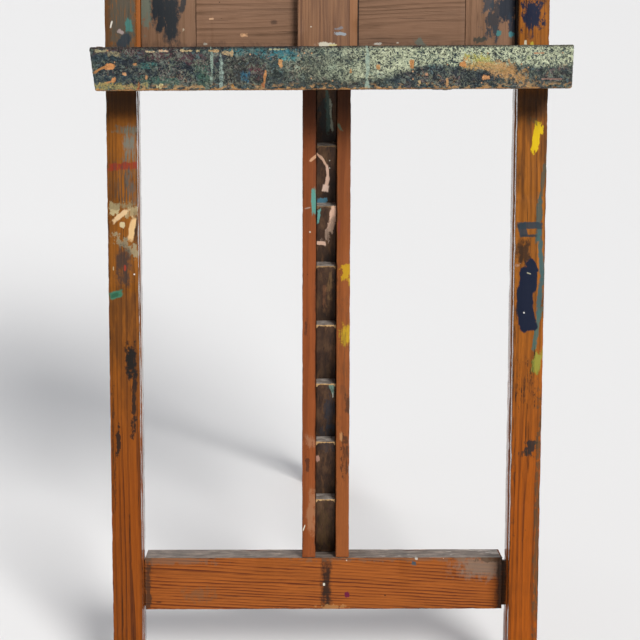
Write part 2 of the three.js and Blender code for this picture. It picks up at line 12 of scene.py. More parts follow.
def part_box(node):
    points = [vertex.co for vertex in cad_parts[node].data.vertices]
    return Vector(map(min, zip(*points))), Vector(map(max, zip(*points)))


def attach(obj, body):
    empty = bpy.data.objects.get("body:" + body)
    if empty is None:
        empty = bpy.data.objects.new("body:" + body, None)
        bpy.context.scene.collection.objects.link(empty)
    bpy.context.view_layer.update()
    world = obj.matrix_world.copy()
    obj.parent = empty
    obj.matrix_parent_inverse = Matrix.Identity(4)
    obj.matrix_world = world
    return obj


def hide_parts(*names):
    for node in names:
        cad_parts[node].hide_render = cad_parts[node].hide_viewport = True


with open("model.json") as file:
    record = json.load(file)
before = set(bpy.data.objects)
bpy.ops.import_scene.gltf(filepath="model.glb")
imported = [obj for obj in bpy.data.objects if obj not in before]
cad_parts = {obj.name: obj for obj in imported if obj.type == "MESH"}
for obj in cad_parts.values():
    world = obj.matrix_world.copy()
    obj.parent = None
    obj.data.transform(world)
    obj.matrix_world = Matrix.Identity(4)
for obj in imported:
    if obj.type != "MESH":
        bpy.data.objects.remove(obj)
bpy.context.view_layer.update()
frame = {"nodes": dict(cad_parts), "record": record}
NODES = frame["nodes"]
BODY_OF = {node: body for body, nodes in frame["record"]["behaviour"]["bodies"].items() for node in nodes}

# ---- axes: the leaning frame's own, and the rear leg's own, both in millimetres ----
LEAN = math.radians(8)
REAR_SPLAY = math.radians(16)
HALF_WIDTH = 0.288
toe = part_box("left_leg")[0]
FRAME_ORIGIN = Vector((toe.x + HALF_WIDTH, toe.y, 0))
PIN = sum(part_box("hinge_pin"), Vector()) / 2
MM = Matrix.Scale(1000, 4)


class Axes:
    """Axes tilted about the row's x axis, with their own origin. Lengths along them are in millimetres."""

    def __init__(self, origin, tilt):
        self.tilt = tilt
        self.to_mm = MM @ Matrix.Rotation(tilt, 4, "X") @ Matrix.Translation(-origin)
        self.to_row = self.to_mm.inverted()


FRAME = Axes(FRAME_ORIGIN, LEAN)
REAR = Axes(PIN, -REAR_SPLAY)


def srgb(code):
    """A linear colour from an sRGB hex code."""
    values = [int(code[i : i + 2], 16) / 255 for i in (0, 2, 4)]
    return [v / 12.92 if v <= 0.04045 else ((v + 0.055) / 1.055) ** 2.4 for v in values] + [1.0]


# ---- node materials, written in millimetres along the axes above ----
class Paint:
    def __init__(self, name, axes=FRAME):
        self.material = bpy.data.materials.new(name)
        self.material.use_nodes = True
        self.tree = self.material.node_tree
        self.shader = self.tree.nodes["Principled BSDF"]
        coords = self.add("ShaderNodeTexCoord")
        self.normal = coords.outputs["Normal"]
        mapping = self.add("ShaderNodeMapping", Vector=coords.outputs["Object"])
        mapping.inputs["Location"].default_value = axes.to_mm.to_translation()
        mapping.inputs["Rotation"].default_value = (axes.tilt, 0, 0)
        mapping.inputs["Scale"].default_value = (1000, 1000, 1000)
        self.at = mapping.outputs[0]
        parts = self.add("ShaderNodeSeparateXYZ", Vector=self.at)
        self.x, self.y, self.z = parts.outputs
        self.rag = None
        self.cover = None
        self.shade = 0.74

    def add(self, kind, **inputs):
        node = self.tree.nodes.new(kind)
        for name, value in inputs.items():
            self.feed(node.inputs[name.replace("_", " ")], value)
        return node

    def feed(self, socket, value):
        if isinstance(value, bpy.types.NodeSocket):
            self.tree.links.new(value, socket)
        else:
            socket.default_value = value

    def math(self, operation, a, b=0.0, clamp=False):
        node = self.tree.nodes.new("ShaderNodeMath")
        node.operation = operation
        node.use_clamp = clamp
        self.feed(node.inputs[0], a)
        self.feed(node.inputs[1], b)
        return node.outputs[0]

    def plus(self, *terms):
        total = terms[0]
        for term in terms[1:]:
            total = self.math("ADD", total, term)
        return total

    def times(self, *terms):
        total = terms[0]
        for term in terms[1:]:
            total = self.math("MULTIPLY", total, term)
        return total

    def scaled(self, factors, shift=0.0):
        node = self.tree.nodes.new("ShaderNodeVectorMath")
        node.operation = "MULTIPLY_ADD"
        self.feed(node.inputs[0], self.at)
        self.feed(node.inputs[1], factors)
        self.feed(node.inputs[2], (shift, shift * 1.7, shift * 0.6))
        return node.outputs[0]

    def minus(self, a, b):
        return self.math("SUBTRACT", a, b)

    def vector(self, operation, a, b=(0.0, 0.0, 0.0)):
        node = self.tree.nodes.new("ShaderNodeVectorMath")
        node.operation = operation
        self.feed(node.inputs[0], a)
        self.feed(node.inputs[1], b)
        return node

    def noise(self, vector, size, detail=2.0, rough=0.5, distort=0.0):
        """Noise whose main features are about size millimetres, around 0.5."""
        node = self.add(
            "ShaderNodeTexNoise", Vector=vector, Scale=1 / size, Detail=detail, Roughness=rough, Distortion=distort
        )
        return node.outputs[0]

    def grain(self, factors, shift, *options):
        """Noise stretched by the factors, in its own place."""
        return self.noise(self.scaled(factors, shift), *options)

    def smooth(self, value, low, high, out=(0.0, 1.0)):
        """A smooth step as value goes from low to high, which may be the wrong way round."""
        node = self.tree.nodes.new("ShaderNodeMapRange")
        node.interpolation_type = "SMOOTHSTEP"
        self.feed(node.inputs["Value"], value)
        ends = ((low, high), out) if low < high else ((high, low), out[::-1])
        for name, number in zip(("From Min", "From Max", "To Min", "To Max"), ends[0] + tuple(ends[1])):
            self.feed(node.inputs[name], number)
        return node.outputs[0]

    def mix(self, share, a, b, blend="MIX"):
        node = self.tree.nodes.new("ShaderNodeMix")
        node.data_type = "RGBA"
        node.blend_type = blend
        node.clamp_factor = True
        self.feed(node.inputs[0], share)
        self.feed(node.inputs[6], srgb(a) if isinstance(a, str) else a)
        self.feed(node.inputs[7], srgb(b) if isinstance(b, str) else b)
        return node.outputs[2]

    def ramp(self, value, stops):
        node = self.add("ShaderNodeValToRGB", Fac=value)
        elements = node.color_ramp.elements
        while len(elements) < len(stops):
            elements.new(0.5)
        for element, (place, code) in zip(elements, stops):
            element.position = place
            element.color = srgb(code)
        return node.outputs[0]

    def specks(self, size, share, radius, seed=0.0):
        """Scattered dots: one in some cells of size millimetres."""
        node = self.tree.nodes.new("ShaderNodeTexVoronoi")
        self.feed(node.inputs["Vector"], self.scaled((1, 1, 1), seed))
        node.inputs["Scale"].default_value = 1 / size
        pick = self.add("ShaderNodeSeparateColor", Color=node.outputs["Color"])
        chosen = self.math("LESS_THAN", pick.outputs[0], share)
        reach = self.math("MULTIPLY_ADD", pick.outputs[1], radius)
        reach.node.inputs[2].default_value = radius * 0.5
        distance = self.times(node.outputs["Distance"], size)
        inside = self.smooth(self.math("DIVIDE", distance, reach), 1.0, 0.75)
        return self.times(inside, chosen)

    def patch(self, color, paint, x, z, rx, rz, turn=0.0, soft=0.25, rag=0.5, cover=1.0, square=False, streak=0.0,
              crusty=False):
        """A dab of paint, or of painted shadow, on the front, centred at (x, z), with ragged edges."""
        if self.rag is None:
            coarse = self.noise(self.scaled((1, 0.3, 0.6), 3.0), 6, 3, 0.6)
            fine = self.noise(self.scaled((1, 0.3, 0.8), 5.0), 1.7, 3, 0.65)
            self.rag = self.minus(self.plus(self.times(coarse, 0.75), self.times(fine, 0.25)), 0.5)
            self.comb = self.noise(self.scaled((1, 0.2, 0.08), 8.0), 2.2, 4, 0.7)
        mapping = self.add("ShaderNodeMapping", Vector=self.at)
        mapping.vector_type = "TEXTURE"
        mapping.inputs["Location"].default_value = (x, 0, z)
        mapping.inputs["Rotation"].default_value = (0, math.radians(turn), 0)
        mapping.inputs["Scale"].default_value = (rx, 1e6, rz)
        powers = self.vector("MULTIPLY", mapping.outputs[0], mapping.outputs[0]).outputs[0]
        if square:
            powers = self.vector("MULTIPLY", powers, powers).outputs[0]
        reach = self.math("POWER", self.vector("LENGTH", powers).outputs["Value"], 0.25 if square else 0.5)
        worn = self.math("MULTIPLY_ADD", self.rag, rag * 6)
        self.feed(worn.node.inputs[2], reach)
        mask = self.smooth(worn, 1 + soft, 1 - soft, (0.0, cover))
        if streak:
            bare = 0.8 - 0.36 * streak
            mask = self.times(mask, self.smooth(self.comb, bare + 0.07, bare - 0.07))
        if crusty:
            mask = self.times(mask, self.crust)
        mask = self.times(mask, self.front)
        self.cover = mask if self.cover is None else self.math("MAXIMUM", self.cover, mask)
        return self.mix(mask, color, [v * self.shade for v in srgb(paint)[:3]] + [1.0])

    def facing(self, low, high, way=(0, 0.14, 0.99)):
        """1 where the surface faces that way, at rest."""
        return self.smooth(self.vector("DOT_PRODUCT", self.normal, way).outputs["Value"], low, high)

    def near_front(self, low, high):
        """Paint stays on the front of a board and reaches a little round its edges."""
        self.front = self.smooth(self.y, high, low)

    def edge(self, low, high):
        """1 on the edges of the box from low to high, falling to 0 a little way in."""
        reach = 2.5
        sides = []
        for value, a, b in zip((self.x, self.y, self.z), low, high):
            sides.append(self.math("MINIMUM", self.minus(value, a), self.minus(b, value)))
        least, most = self.math("MINIMUM", *sides[:2]), self.math("MAXIMUM", *sides[:2])
        middle = self.math("MAXIMUM", least, self.math("MINIMUM", most, sides[2]))
        wobble = self.times(self.minus(self.noise(self.at, 6, 3, 0.6), 0.5), reach * 2.2)
        return self.smooth(self.plus(middle, wobble), reach, 0.0)

    def veins(self, vector, size, width, detail=2.0, distort=0.6):
        """Thin curling lines, a few for each length of size millimetres."""
        off = self.math("ABSOLUTE", self.minus(self.noise(vector, size, detail, 0.55, distort), 0.5))
        return self.smooth(off, width, width * 0.35)

    def done(self, color, rough, height=None, depth=0.3, metal=0.0, coat=0.0, coat_rough=0.3, specular=0.16):
        s = self.shader.inputs
        self.feed(s["Base Color"], color)
        self.feed(s["Roughness"], rough)
        self.feed(s["Metallic"], metal)
        s["Specular IOR Level"].default_value = specular
        self.feed(s["Coat Weight"], coat)
        s["Coat Roughness"].default_value = coat_rough
        if height is not None:
            bump = self.add("ShaderNodeBump", Height=height)
            bump.inputs["Strength"].default_value = 1.0
            bump.inputs["Distance"].default_value = depth / 1000
            self.feed(s["Normal"], bump.outputs[0])
        return self.material


def box_mm(node, axes=FRAME):
    points = np.array([axes.to_mm @ v.co for v in NODES[node].data.vertices])
    return points.min(0), points.max(0)


GRIME = "1c130c"


def timber(p, node, along, light, dark, ring=6.0, warp=14.0, run=0.06, tilt=0.0, seed=0.0, contrast=0.8, cracks=1.0,
           axes=FRAME, grime_share=0.6, slope=0.0):
    """Softwood: growth lines, fibres, cracks, worm holes and grimy edges. Gives colour, height and roughness."""
    squeeze = (1, 1, run) if along == "z" else (run, 1, 1)
    fibre_squeeze = (1, 1, 0.025) if along == "z" else (0.025, 1, 1)
    across, length = (p.x, p.z) if along == "z" else (p.z, p.x)
    flow = p.scaled(squeeze, seed)
    bend = p.minus(p.noise(flow, 45, 1.5), 0.5)
    spread = p.minus(p.noise(flow, 13, 2.5, 0.6), 0.5)
    place = p.plus(
        p.times(across, math.cos(tilt)),
        p.times(p.y, math.sin(tilt)),
        p.times(length, slope),
        p.times(bend, warp * 1.5),
        p.times(spread, ring * 1.1),
    )
    line = p.math("FRACT", p.math("DIVIDE", place, ring))
    late = p.math("MULTIPLY", p.smooth(line, 0.35, 0.88), p.smooth(line, 1.0, 0.92))
    half_line = p.math("FRACT", p.math("DIVIDE", place, ring * 0.437))
    late_2 = p.math("MULTIPLY", p.smooth(half_line, 0.3, 0.85), p.smooth(half_line, 1.0, 0.88))
    strength = p.smooth(p.noise(p.scaled(squeeze, seed + 60), 11, 3, 0.6), 0.36, 0.66)
    late = p.plus(p.times(late, p.plus(p.times(strength, 0.85), 0.25)), p.times(late_2, 0.22))
    fibres = p.noise(p.scaled(fibre_squeeze, seed + 5), 1.1, 3, 0.65)
    fine = p.noise(p.scaled(fibre_squeeze, seed + 9), 0.45, 2, 0.6)
    blotch = p.noise(p.scaled(squeeze, seed + 2), 22, 3, 0.6)
    depth = p.plus(p.times(late, contrast), p.times(p.minus(fibres, 0.5), 0.9))
    color = p.mix(p.math("ADD", depth, 0.08, clamp=True), light, dark)
    tone = p.plus(p.times(blotch, 0.75), p.times(fine, 0.5), 0.38)
    color = p.mix(1.0, color, p.ramp(tone, [(0.0, "202020"), (0.5, "9a9a9a"), (1.0, "ffffff")]), "MULTIPLY")
    crack = p.smooth(p.noise(p.scaled(fibre_squeeze, seed + 21), 2.6, 3, 0.5), 0.66, 0.72, (0.0, cracks))
    color = p.mix(crack, color, GRIME)
    holes = p.specks(17, 0.3, 0.9, seed)
    color = p.mix(p.times(holes, 0.85), color, "160d06")
    rim = p.edge(*box_mm(node, axes))
    dirt = p.smooth(p.grain((1, 1, 0.4), seed + 31, 16, 4, 0.65), 0.44, 0.64)
    color = p.mix(p.times(rim, dirt, grime_share), color, GRIME)
    flecks = p.specks(26, 0.16, 0.55, seed + 13)
    color = p.mix(p.times(flecks, 0.85), color, "d8d2c4")
    height = p.plus(
        p.times(late, -0.35), p.times(fibres, 0.45), p.times(fine, 0.15), p.times(crack, -0.9), p.times(holes, -2.0)
    )
    rough = p.smooth(p.plus(p.times(fibres, 0.5), p.times(blotch, 0.5)), 0.2, 0.8, (0.42, 0.72))
    return color, height, rough


# ---- worn meshes ----
def placed(name, data):
    obj = bpy.data.objects.new(name, data)
    bpy.context.scene.collection.objects.link(obj)
    return obj


def mesh_of(name, work):
    mesh = bpy.data.meshes.new(name)
    work.to_mesh(mesh)
    work.free()
    return mesh


def piece(name, mesh, stands_for, material):
    """Puts a mesh made in row-frame metres in place of its CAD node."""
    obj = placed(name, mesh)
    mesh.materials.clear()
    mesh.materials.append(material)
    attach(obj, BODY_OF[stands_for])
    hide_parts(stands_for)
    return obj


def clean_copy(node, axes):
    """The CAD node's surface along the given axes, in millimetres, with its flat faces whole."""
    work = bmesh.new()
    work.from_mesh(NODES[node].data)
    work.transform(axes.to_mm)
    bmesh.ops.remove_doubles(work, verts=work.verts, dist=0.005)
    bmesh.ops.dissolve_limit(work, angle_limit=math.radians(1.5), verts=work.verts, edges=work.edges)
    return work


def slice_up(work, axis, low, high, step):
    normal = Vector((axis == 0, axis == 1, axis == 2))
    count = int((high - low) / step)
    for i in range(1, count):
        at = low + (high - low) * i / count
        everything = work.verts[:] + work.edges[:] + work.faces[:]
        bmesh.ops.bisect_plane(work, geom=everything, plane_co=normal * at, plane_no=normal, dist=0.01)


def worn(node, material, slices=(), round_off=1.2, chips=0.9, wave=0.25, axes=FRAME, seed=0.0, sharp=28, segments=2,
         shape=None):
    """A board with rubbed edges: its CAD shape, its edges rounded, cut across, and rubbed down unevenly."""
    work = clean_copy(node, axes)
    edges = [e for e in work.edges if e.is_manifold and e.calc_face_angle(0.0) > math.radians(sharp)]
    bmesh.ops.bevel(
        work, geom=edges, offset=round_off, offset_type="OFFSET", segments=segments, profile=0.55, affect="EDGES",
        clamp_overlap=True,
    )
    for axis, step in slices:
        ends = [v.co[axis] for v in work.verts]
        slice_up(work, axis, min(ends), max(ends), step)
    work.normal_update()
    if wave or chips:
        for vert in work.verts:
            where = vert.co + Vector((seed * 31.7, seed * 17.3, seed * 7.1))
            slow = 0.5 + 0.5 * noise.noise(where * 0.018)
            dent = max(0.0, noise.noise(where * 0.05) - 0.05) + 0.8 * max(0.0, noise.noise(where * 0.19) - 0.18)
            vert.co -= vert.normal * (wave * slow + chips * 1.4 * dent)
            if shape:
                shape(vert.co)
    work.transform(axes.to_row)
    mesh = mesh_of(node + "_worn", work)
    mesh.shade_smooth()
    mesh.set_sharp_from_angle(angle=math.radians(38))
    return piece(node + "_worn", mesh, node, material)


# ---- legs ----
def dab(paint, x, z, half_width, half_height, rag=0.5, turn=0.0, **options):
    """A stroke of paint, or a patch of painted shadow: its place, its size, how ragged it is and how many degrees it
    is turned.
    """
    return paint, x, z, half_width, half_height, dict(rag=rag, turn=turn, **options)


def crust(*place, **options):
    """A stroke that only catches on the raised paint."""
    return dab(*place, crusty=True, **options)


def lay(p, color, strokes):
    """Lays strokes of paint over a colour, with a little dirt on all of them. The legs' lists also hold patches of
    painted shadow under the tray.
    """
    for paint, x, z, rx, rz, options in strokes:
        color = p.patch(color, paint, x, z, rx, rz, **options)
    return p.mix(p.times(p.cover, 0.08), color, "33261b")


def wet_look(p, rough):
    """Paint is smoother than the bare wood round it."""
    return p.minus(rough, p.times(p.cover, 0.12))


LEFT_STROKES_AND_SHADOW = [
    dab("50534a", -266, 935, 17, 62, 0.25, square=True, streak=0.5, cover=0.85),
    dab("5c3f26", -285, 905, 4, 60, 0.5, cover=0.7), dab("4a8279", -257, 903, 4, 9, streak=0.6),
    dab("b9a8a4", -267, 893.5, 4, 2.6, 0.6, 20, cover=0.8), dab("efe9da", -279.5, 903, 1, 4.6, 0.15, 14),
    dab("2c3a44", -264, 881, 6, 11, 0.4, 35, cover=0.9),
    # Painted shadow of the tray: this dark square patch just under the tray is shade, not paint.
    dab("24180e", -266, 802, 24, 16, 0.3, square=True, soft=0.7, cover=0.6),
    dab("64695a", -262, 767, 14, 5, 0.5, 8, streak=0.7, cover=0.75),
    dab("737a70", -257, 742, 8, 25, streak=0.8, soft=0.45, cover=0.85),
    dab("9a2c1a", -265, 721, 21, 4.5, 0.35, -4, square=True, streak=0.55, cover=0.85),
    dab("4a4238", -265, 694, 15, 30, streak=0.9, soft=0.6, cover=0.8),
    dab("5b605c", -256, 690, 5, 20, 0.5, -10, streak=0.8, cover=0.6),
    dab("c4b184", -277, 664, 8, 7, 1.2, streak=0.4),
    dab("8f7f5c", -266, 668, 14, 4, 1.5, soft=0.4, cover=0.8),
    dab("b09c72", -255, 661, 8, 6, 1.3, streak=0.6, cover=0.85),
    dab("e8c494", -271.4, 656.2, 3.2, 12.4, 0.35, 50),
    dab("2a1f18", -251.4, 638, 2.6, 18, 0.5, soft=0.4, cover=0.85),
    dab("ecc38a", -256.2, 638.2, 3.8, 15.5, 0.3, 8), dab("d8c496", -268.9, 644.1, 3.2, 3.2, 0.7),
    dab("a39574", -263, 617, 15, 5.5, 1.6, 30, streak=0.3, cover=0.85),
    dab("2c2c2e", -267.5, 591, 8.5, 26, streak=0.45, soft=0.5, cover=0.8),
    dab("b03a20", -265.8, 587.6, 1.5, 3.6, 0.4, soft=0.4, cover=0.75),
    dab("c9b890", -281, 587, 0.7, 2.6, 0.4, cover=0.75), dab("f4f0e4", -253.6, 579.2, 1, 1),
    dab("3f7a60", -278.2, 552.2, 8.6, 4.6, 0.25, -20), dab("2f6248", -279, 551.8, 6.6, 2.6, 0.4, -20),
    dab("17130f", -259, 463, 7, 21, 0.6, streak=0.35),
    dab("1a1410", -256, 412, 3, 40, 0.8, 2, streak=0.5, cover=0.9),
    dab("1d1611", -278, 354, 2.6, 17, 0.8, streak=0.4, cover=0.9),
    dab("2a1d12", -284, 330, 2.2, 60, 1, streak=0.8, cover=0.6),
    dab("2c3a44", -272, 1120, 9, 22, 0.8, streak=0.5, cover=0.8), dab("c9b48a", -262, 1190, 3, 12, 0.5, 20),
    dab("2f261e", -268, 1400, 10, 60, streak=1.0, soft=0.6, cover=0.5),
]
RIGHT_STROKES_AND_SHADOW = [
    dab("101c38", 266, 918, 12, 17, 0.7, streak=0.35),
    dab("101c38", 263, 899, 4, 13, 0.6, streak=0.7, cover=0.8), dab("e6dcc0", 257, 882, 1.6, 3, 0.2),
    dab("cdb43a", 265.5, 880.5, 2.8, 3, 0.6),
    # Painted shadow of the tray: this dark square patch just under the tray is shade, not paint.
    dab("24180e", 268, 802, 24, 17, 0.3, square=True, soft=0.7, cover=0.6),
    dab("e6c008", 273.5, 761, 4.7, 20, 0.3, 7, square=True, streak=0.3, soft=0.12),
    dab("e6c008", 278.2, 769, 3.4, 5, 0.8, streak=0.5),
    dab("5a4a2a", 270, 781, 6, 5, 1, streak=0.8, cover=0.7),
    dab("4d5346", 283, 702, 2.6, 26, 0.5, 6, streak=0.3, cover=0.8),
    dab("3f5a56", 279.5, 655, 3.6, 28, 0.5, 2, cover=0.85),
    dab("3c6466", 282.5, 603, 3.2, 32, 0.4, -4, cover=0.9), dab("3c6062", 282, 552, 3, 28, 0.4, 5, cover=0.9),
    dab("3f6a63", 279.5, 508, 2.8, 26, 0.5, 8, cover=0.85),
    dab("2c3c46", 267.5, 644.3, 17, 4.4, 0.16, square=True, soft=0.15, cover=0.92),
    dab("2c3c46", 257.8, 638.4, 5.6, 9, 0.16, -12, square=True, soft=0.15, cover=0.92),
    dab("26343c", 265.6, 630.8, 10, 1.7, 0.2, soft=0.3, cover=0.85),
    dab("2a2018", 259.4, 608, 7.8, 15, 0.5, square=True, soft=0.4, streak=0.2, cover=0.85),
    dab("0b1a33", 271, 590, 6.5, 10, 0.12, -28, soft=0.1),
    dab("0b1a33", 266.4, 572, 11.6, 18, 0.1, soft=0.08), dab("0b1a33", 262.3, 548, 11, 19, 0.1, soft=0.08),
    dab("0b1a33", 265.4, 521, 11.4, 17.5, 0.14, -14, square=True, soft=0.08),
    dab("b98d6e", 252.5, 592, 3.6, 2.2, 1, cover=0.8), dab("a8a58c", 267.5, 581, 2.7, 0.8, 0.4, 18),
    dab("f4f2ea", 261.6, 528.6, 1, 1), dab("9a9c3c", 280, 462, 5, 14, 0.7, 12, streak=0.4, cover=0.85),
    dab("2a1d12", 267, 432, 10, 22, 1.4, streak=0.95, cover=0.85),
    dab("1d2426", 274, 346, 6.5, 9, 0.8, streak=0.45, cover=0.9),
    dab("30291f", 267, 338, 10, 3, 1, streak=0.8, cover=0.7),
    dab("3d4030", 284, 240, 3.2, 140, 0.8, streak=0.6, cover=0.65),
    dab("241b14", 251, 450, 2.4, 190, 0.8, streak=0.9, cover=0.6),
    dab("101c38", 262, 1010, 9, 24, 0.7, streak=0.4),
    dab("3f6a63", 276, 1105, 4, 30, 0.5, streak=0.3, cover=0.85),
    dab("b7452a", 262, 1215, 10, 4, 0.6, streak=0.5, cover=0.8),
    dab("20292c", 268, 1390, 11, 30, streak=0.9, soft=0.5, cover=0.6),
]


def leg_pine(name, node, seed, strokes, light, dark, inward):
    p = Paint(name)
    p.near_front(2.5, 8.0)
    color, height, rough = timber(
        p, node, "z", light, dark, ring=6.2, warp=26, run=0.035, tilt=0.5, seed=seed, contrast=0.62, cracks=0.85
    )
    soot = p.smooth(p.grain((1, 1, 0.22), seed + 90, 24, 4, 0.6), 0.5, 0.66, (0.0, 0.6))
    color = p.mix(p.times(soot, p.smooth(p.z, 330, 520, (0.3, 0.85))), color, "24150c")
    gold = p.smooth(p.z, 620, 250)
    color = p.mix(p.times(gold, 0.94), color, p.mix(1.0, color, "f8d018", "MULTIPLY"))
    # Painted shadow of the tray: the leg darkens in a band from just below the tray up behind it.
    color = p.mix(p.times(p.smooth(p.z, 775, 812, (0.0, 0.6)), p.smooth(p.z, 858, 845)), color, "1a0e06")
    color = lay(p, color, strokes)
    polished = p.facing(0.9, 0.98, (inward, 0, 0))
    return p.done(color, wet_look(p, rough), height, 0.3, coat=polished, coat_rough=0.12)


left_pine = leg_pine("left_leg_pine", "left_leg", 1.0, LEFT_STROKES_AND_SHADOW, "864f11", "412104", 1)
worn("left_leg", left_pine, [(2, 5)], seed=1)
right_pine = leg_pine("right_leg_pine", "right_leg", 4.0, RIGHT_STROKES_AND_SHADOW, "985a16", "502906", -1)
worn("right_leg", right_pine, [(2, 5)], seed=2)


# ---- stretcher and crossbar ----
STRETCHER_STROKES = [
    dab("1c130d", 0.5, 146, 6, 33, 0.5, square=True, streak=0.2, soft=0.6, cover=0.92),
    dab("e8e2d0", -2, 147, 1.5, 2, 0.2), dab("f0e6d8", 29, 181, 0.8, 0.8),
    dab("6e1237", 30, 133, 2.6, 3.6, 0.6), dab("8b7a6a", 218, 172, 34, 14, 0.5, 3, soft=0.6, cover=0.75),
    dab("3a2a1e", 244, 148, 7, 40, 0.5, soft=0.5, cover=0.85), dab("43311f", 232, 183, 22, 4, 0.8, cover=0.7),
    dab("3c2b1e", -244, 148, 4, 40, 0.6, soft=0.4, cover=0.8),
    dab("7d6450", -205, 181, 42, 5, 0.6, soft=0.5, cover=0.55),
    dab("7b5638", -172, 133, 16, 7, 0.9, soft=0.7, cover=0.55), dab("47525a", 122, 177, 2.6, 2.6, 0.6),
    dab("f3efe4", 125, 183.5, 1.8, 1.8, 0.3), dab("7a604a", 100, 183, 90, 3, 0.9, soft=0.5, cover=0.45),
    dab("c08a52", 10, 115, 16, 2.5, 0.9, cover=0.6),
]


def stretcher_pine():
    p = Paint("stretcher_pine")
    p.near_front(41, 48)
    color, height, rough = timber(
        p, "bottom_stretcher", "x", "97521a", "531f03", ring=4.6, warp=10, run=0.09, seed=7, contrast=0.95,
        cracks=0.6, slope=0.062,
    )
    color = lay(p, color, STRETCHER_STROKES)
    up = p.facing(0.75, 0.95)
    dust = p.ramp(p.grain((0.4, 1, 1), 4, 9, 4, 0.7), [(0.3, "55514c"), (0.55, "7f776f"), (0.75, "a3978c")])
    pale = p.smooth(p.grain((0.25, 1, 1), 14, 16, 4, 0.7), 0.56, 0.62)
    side = p.smooth(p.x, 60, 90)
    dust = p.mix(p.times(pale, side), dust, "cfc6bb")
    color = p.mix(p.times(up, 0.94), color, dust)
    return p.done(color, wet_look(p, rough), height, 0.32, coat=0.03, coat_rough=0.4)


def crossbar_pine():
    p = Paint("crossbar_pine")
    color, height, rough = timber(
        p, "top_crossbar", "x", "965324", "5c290a", ring=6.0, warp=12, run=0.1, seed=17, contrast=0.6, slope=-0.03
    )
    color = p.mix(p.times(p.facing(0.75, 0.95), 0.6), color, "75706a")
    return p.done(color, rough, height, 0.32, coat=0.1, coat_rough=0.4)


worn("bottom_stretcher", stretcher_pine(), [(0, 5)], round_off=1.1, chips=1.1, seed=3)
worn("top_crossbar", crossbar_pine(), [(0, 7)], round_off=1.3, seed=4)


# ---- ratchet rail ----
def guide_pine(name, node, seed, light, dark, strokes):
    p = Paint(name)
    p.near_front(41, 47)
    color, height, rough = timber(
        p, node, "z", light, dark, ring=10, warp=22, run=0.05, tilt=0.9, seed=seed, contrast=0.42, cracks=0.35,
        grime_share=0.7,
    )
    color = p.mix(p.smooth(p.z, 560, 700, (0.0, 0.2)), color, "3a1c10")
    # Painted shadow of the tray: the guide darkens towards its top, just under the tray.
    color = p.mix(p.smooth(p.z, 745, 812, (0.0, 0.72)), color, "1f0f07")
    color = lay(p, color, strokes)
    return p.done(color, wet_look(p, rough), height, 0.22, coat=0.05, coat_rough=0.34)


worn("ratchet_guide_left", guide_pine("guide_left_pine", "ratchet_guide_left", 11, "824219", "5d2a0c", [
    dab("5f9c8f", -17.2, 674, 3.2, 17, 0.25), dab("d9a37c", -18, 731, 1.8, 6.5, 0.3, 50),
    dab("b39a8a", -25, 665, 5, 1, 0.6, -12, cover=0.7), dab("e4dcc6", -29.5, 227, 0.8, 4.4, 0.2, 18),
    dab("c9bfae", -22, 633, 1, 1), dab("3a1c0e", -25, 315, 2.4, 8, 0.8, streak=0.5, cover=0.7),
    dab("3a1c0e", -27, 505, 2, 12, 0.8, streak=0.6, cover=0.6),
    dab("b58a6a", -22, 350, 7, 6, 1.1, soft=0.5, cover=0.4),
    dab("c39a74", -19, 250, 5, 24, 0.9, soft=0.6, cover=0.3),
]), [(2, 7)], round_off=0.9, seed=5)
worn("ratchet_guide_right", guide_pine("guide_right_pine", "ratchet_guide_right", 15, "84481e", "5f2e0f", [
    dab("c79a14", 28, 579, 7, 8, 0.9, streak=0.3), dab("caa428", 32, 567, 1.6, 5, 0.5),
    dab("c8a01c", 27.5, 495, 7.5, 11.5, 0.6, streak=0.25),
    dab("5f7a63", 17.4, 772, 1.8, 5, 0.4, -28, cover=0.8),
    dab("3c2413", 27, 330, 5, 22, 1, streak=0.7, cover=0.75),
    dab("3c2413", 29, 400, 3, 11, 0.9, streak=0.6, cover=0.7),
    dab("c7925e", 20.5, 354, 1.6, 5.5, 0.6, cover=0.7), dab("8a3a34", 17, 640, 1.8, 12, 0.6, cover=0.6),
    dab("4a3420", 24, 470, 8, 60, 1.2, streak=0.9, soft=0.5, cover=0.4),
]), [(2, 7)], round_off=0.9, seed=6)

PITCH = 80.5
RAIL_FOOT = 185.3
LEDGE_TIP = 45.0


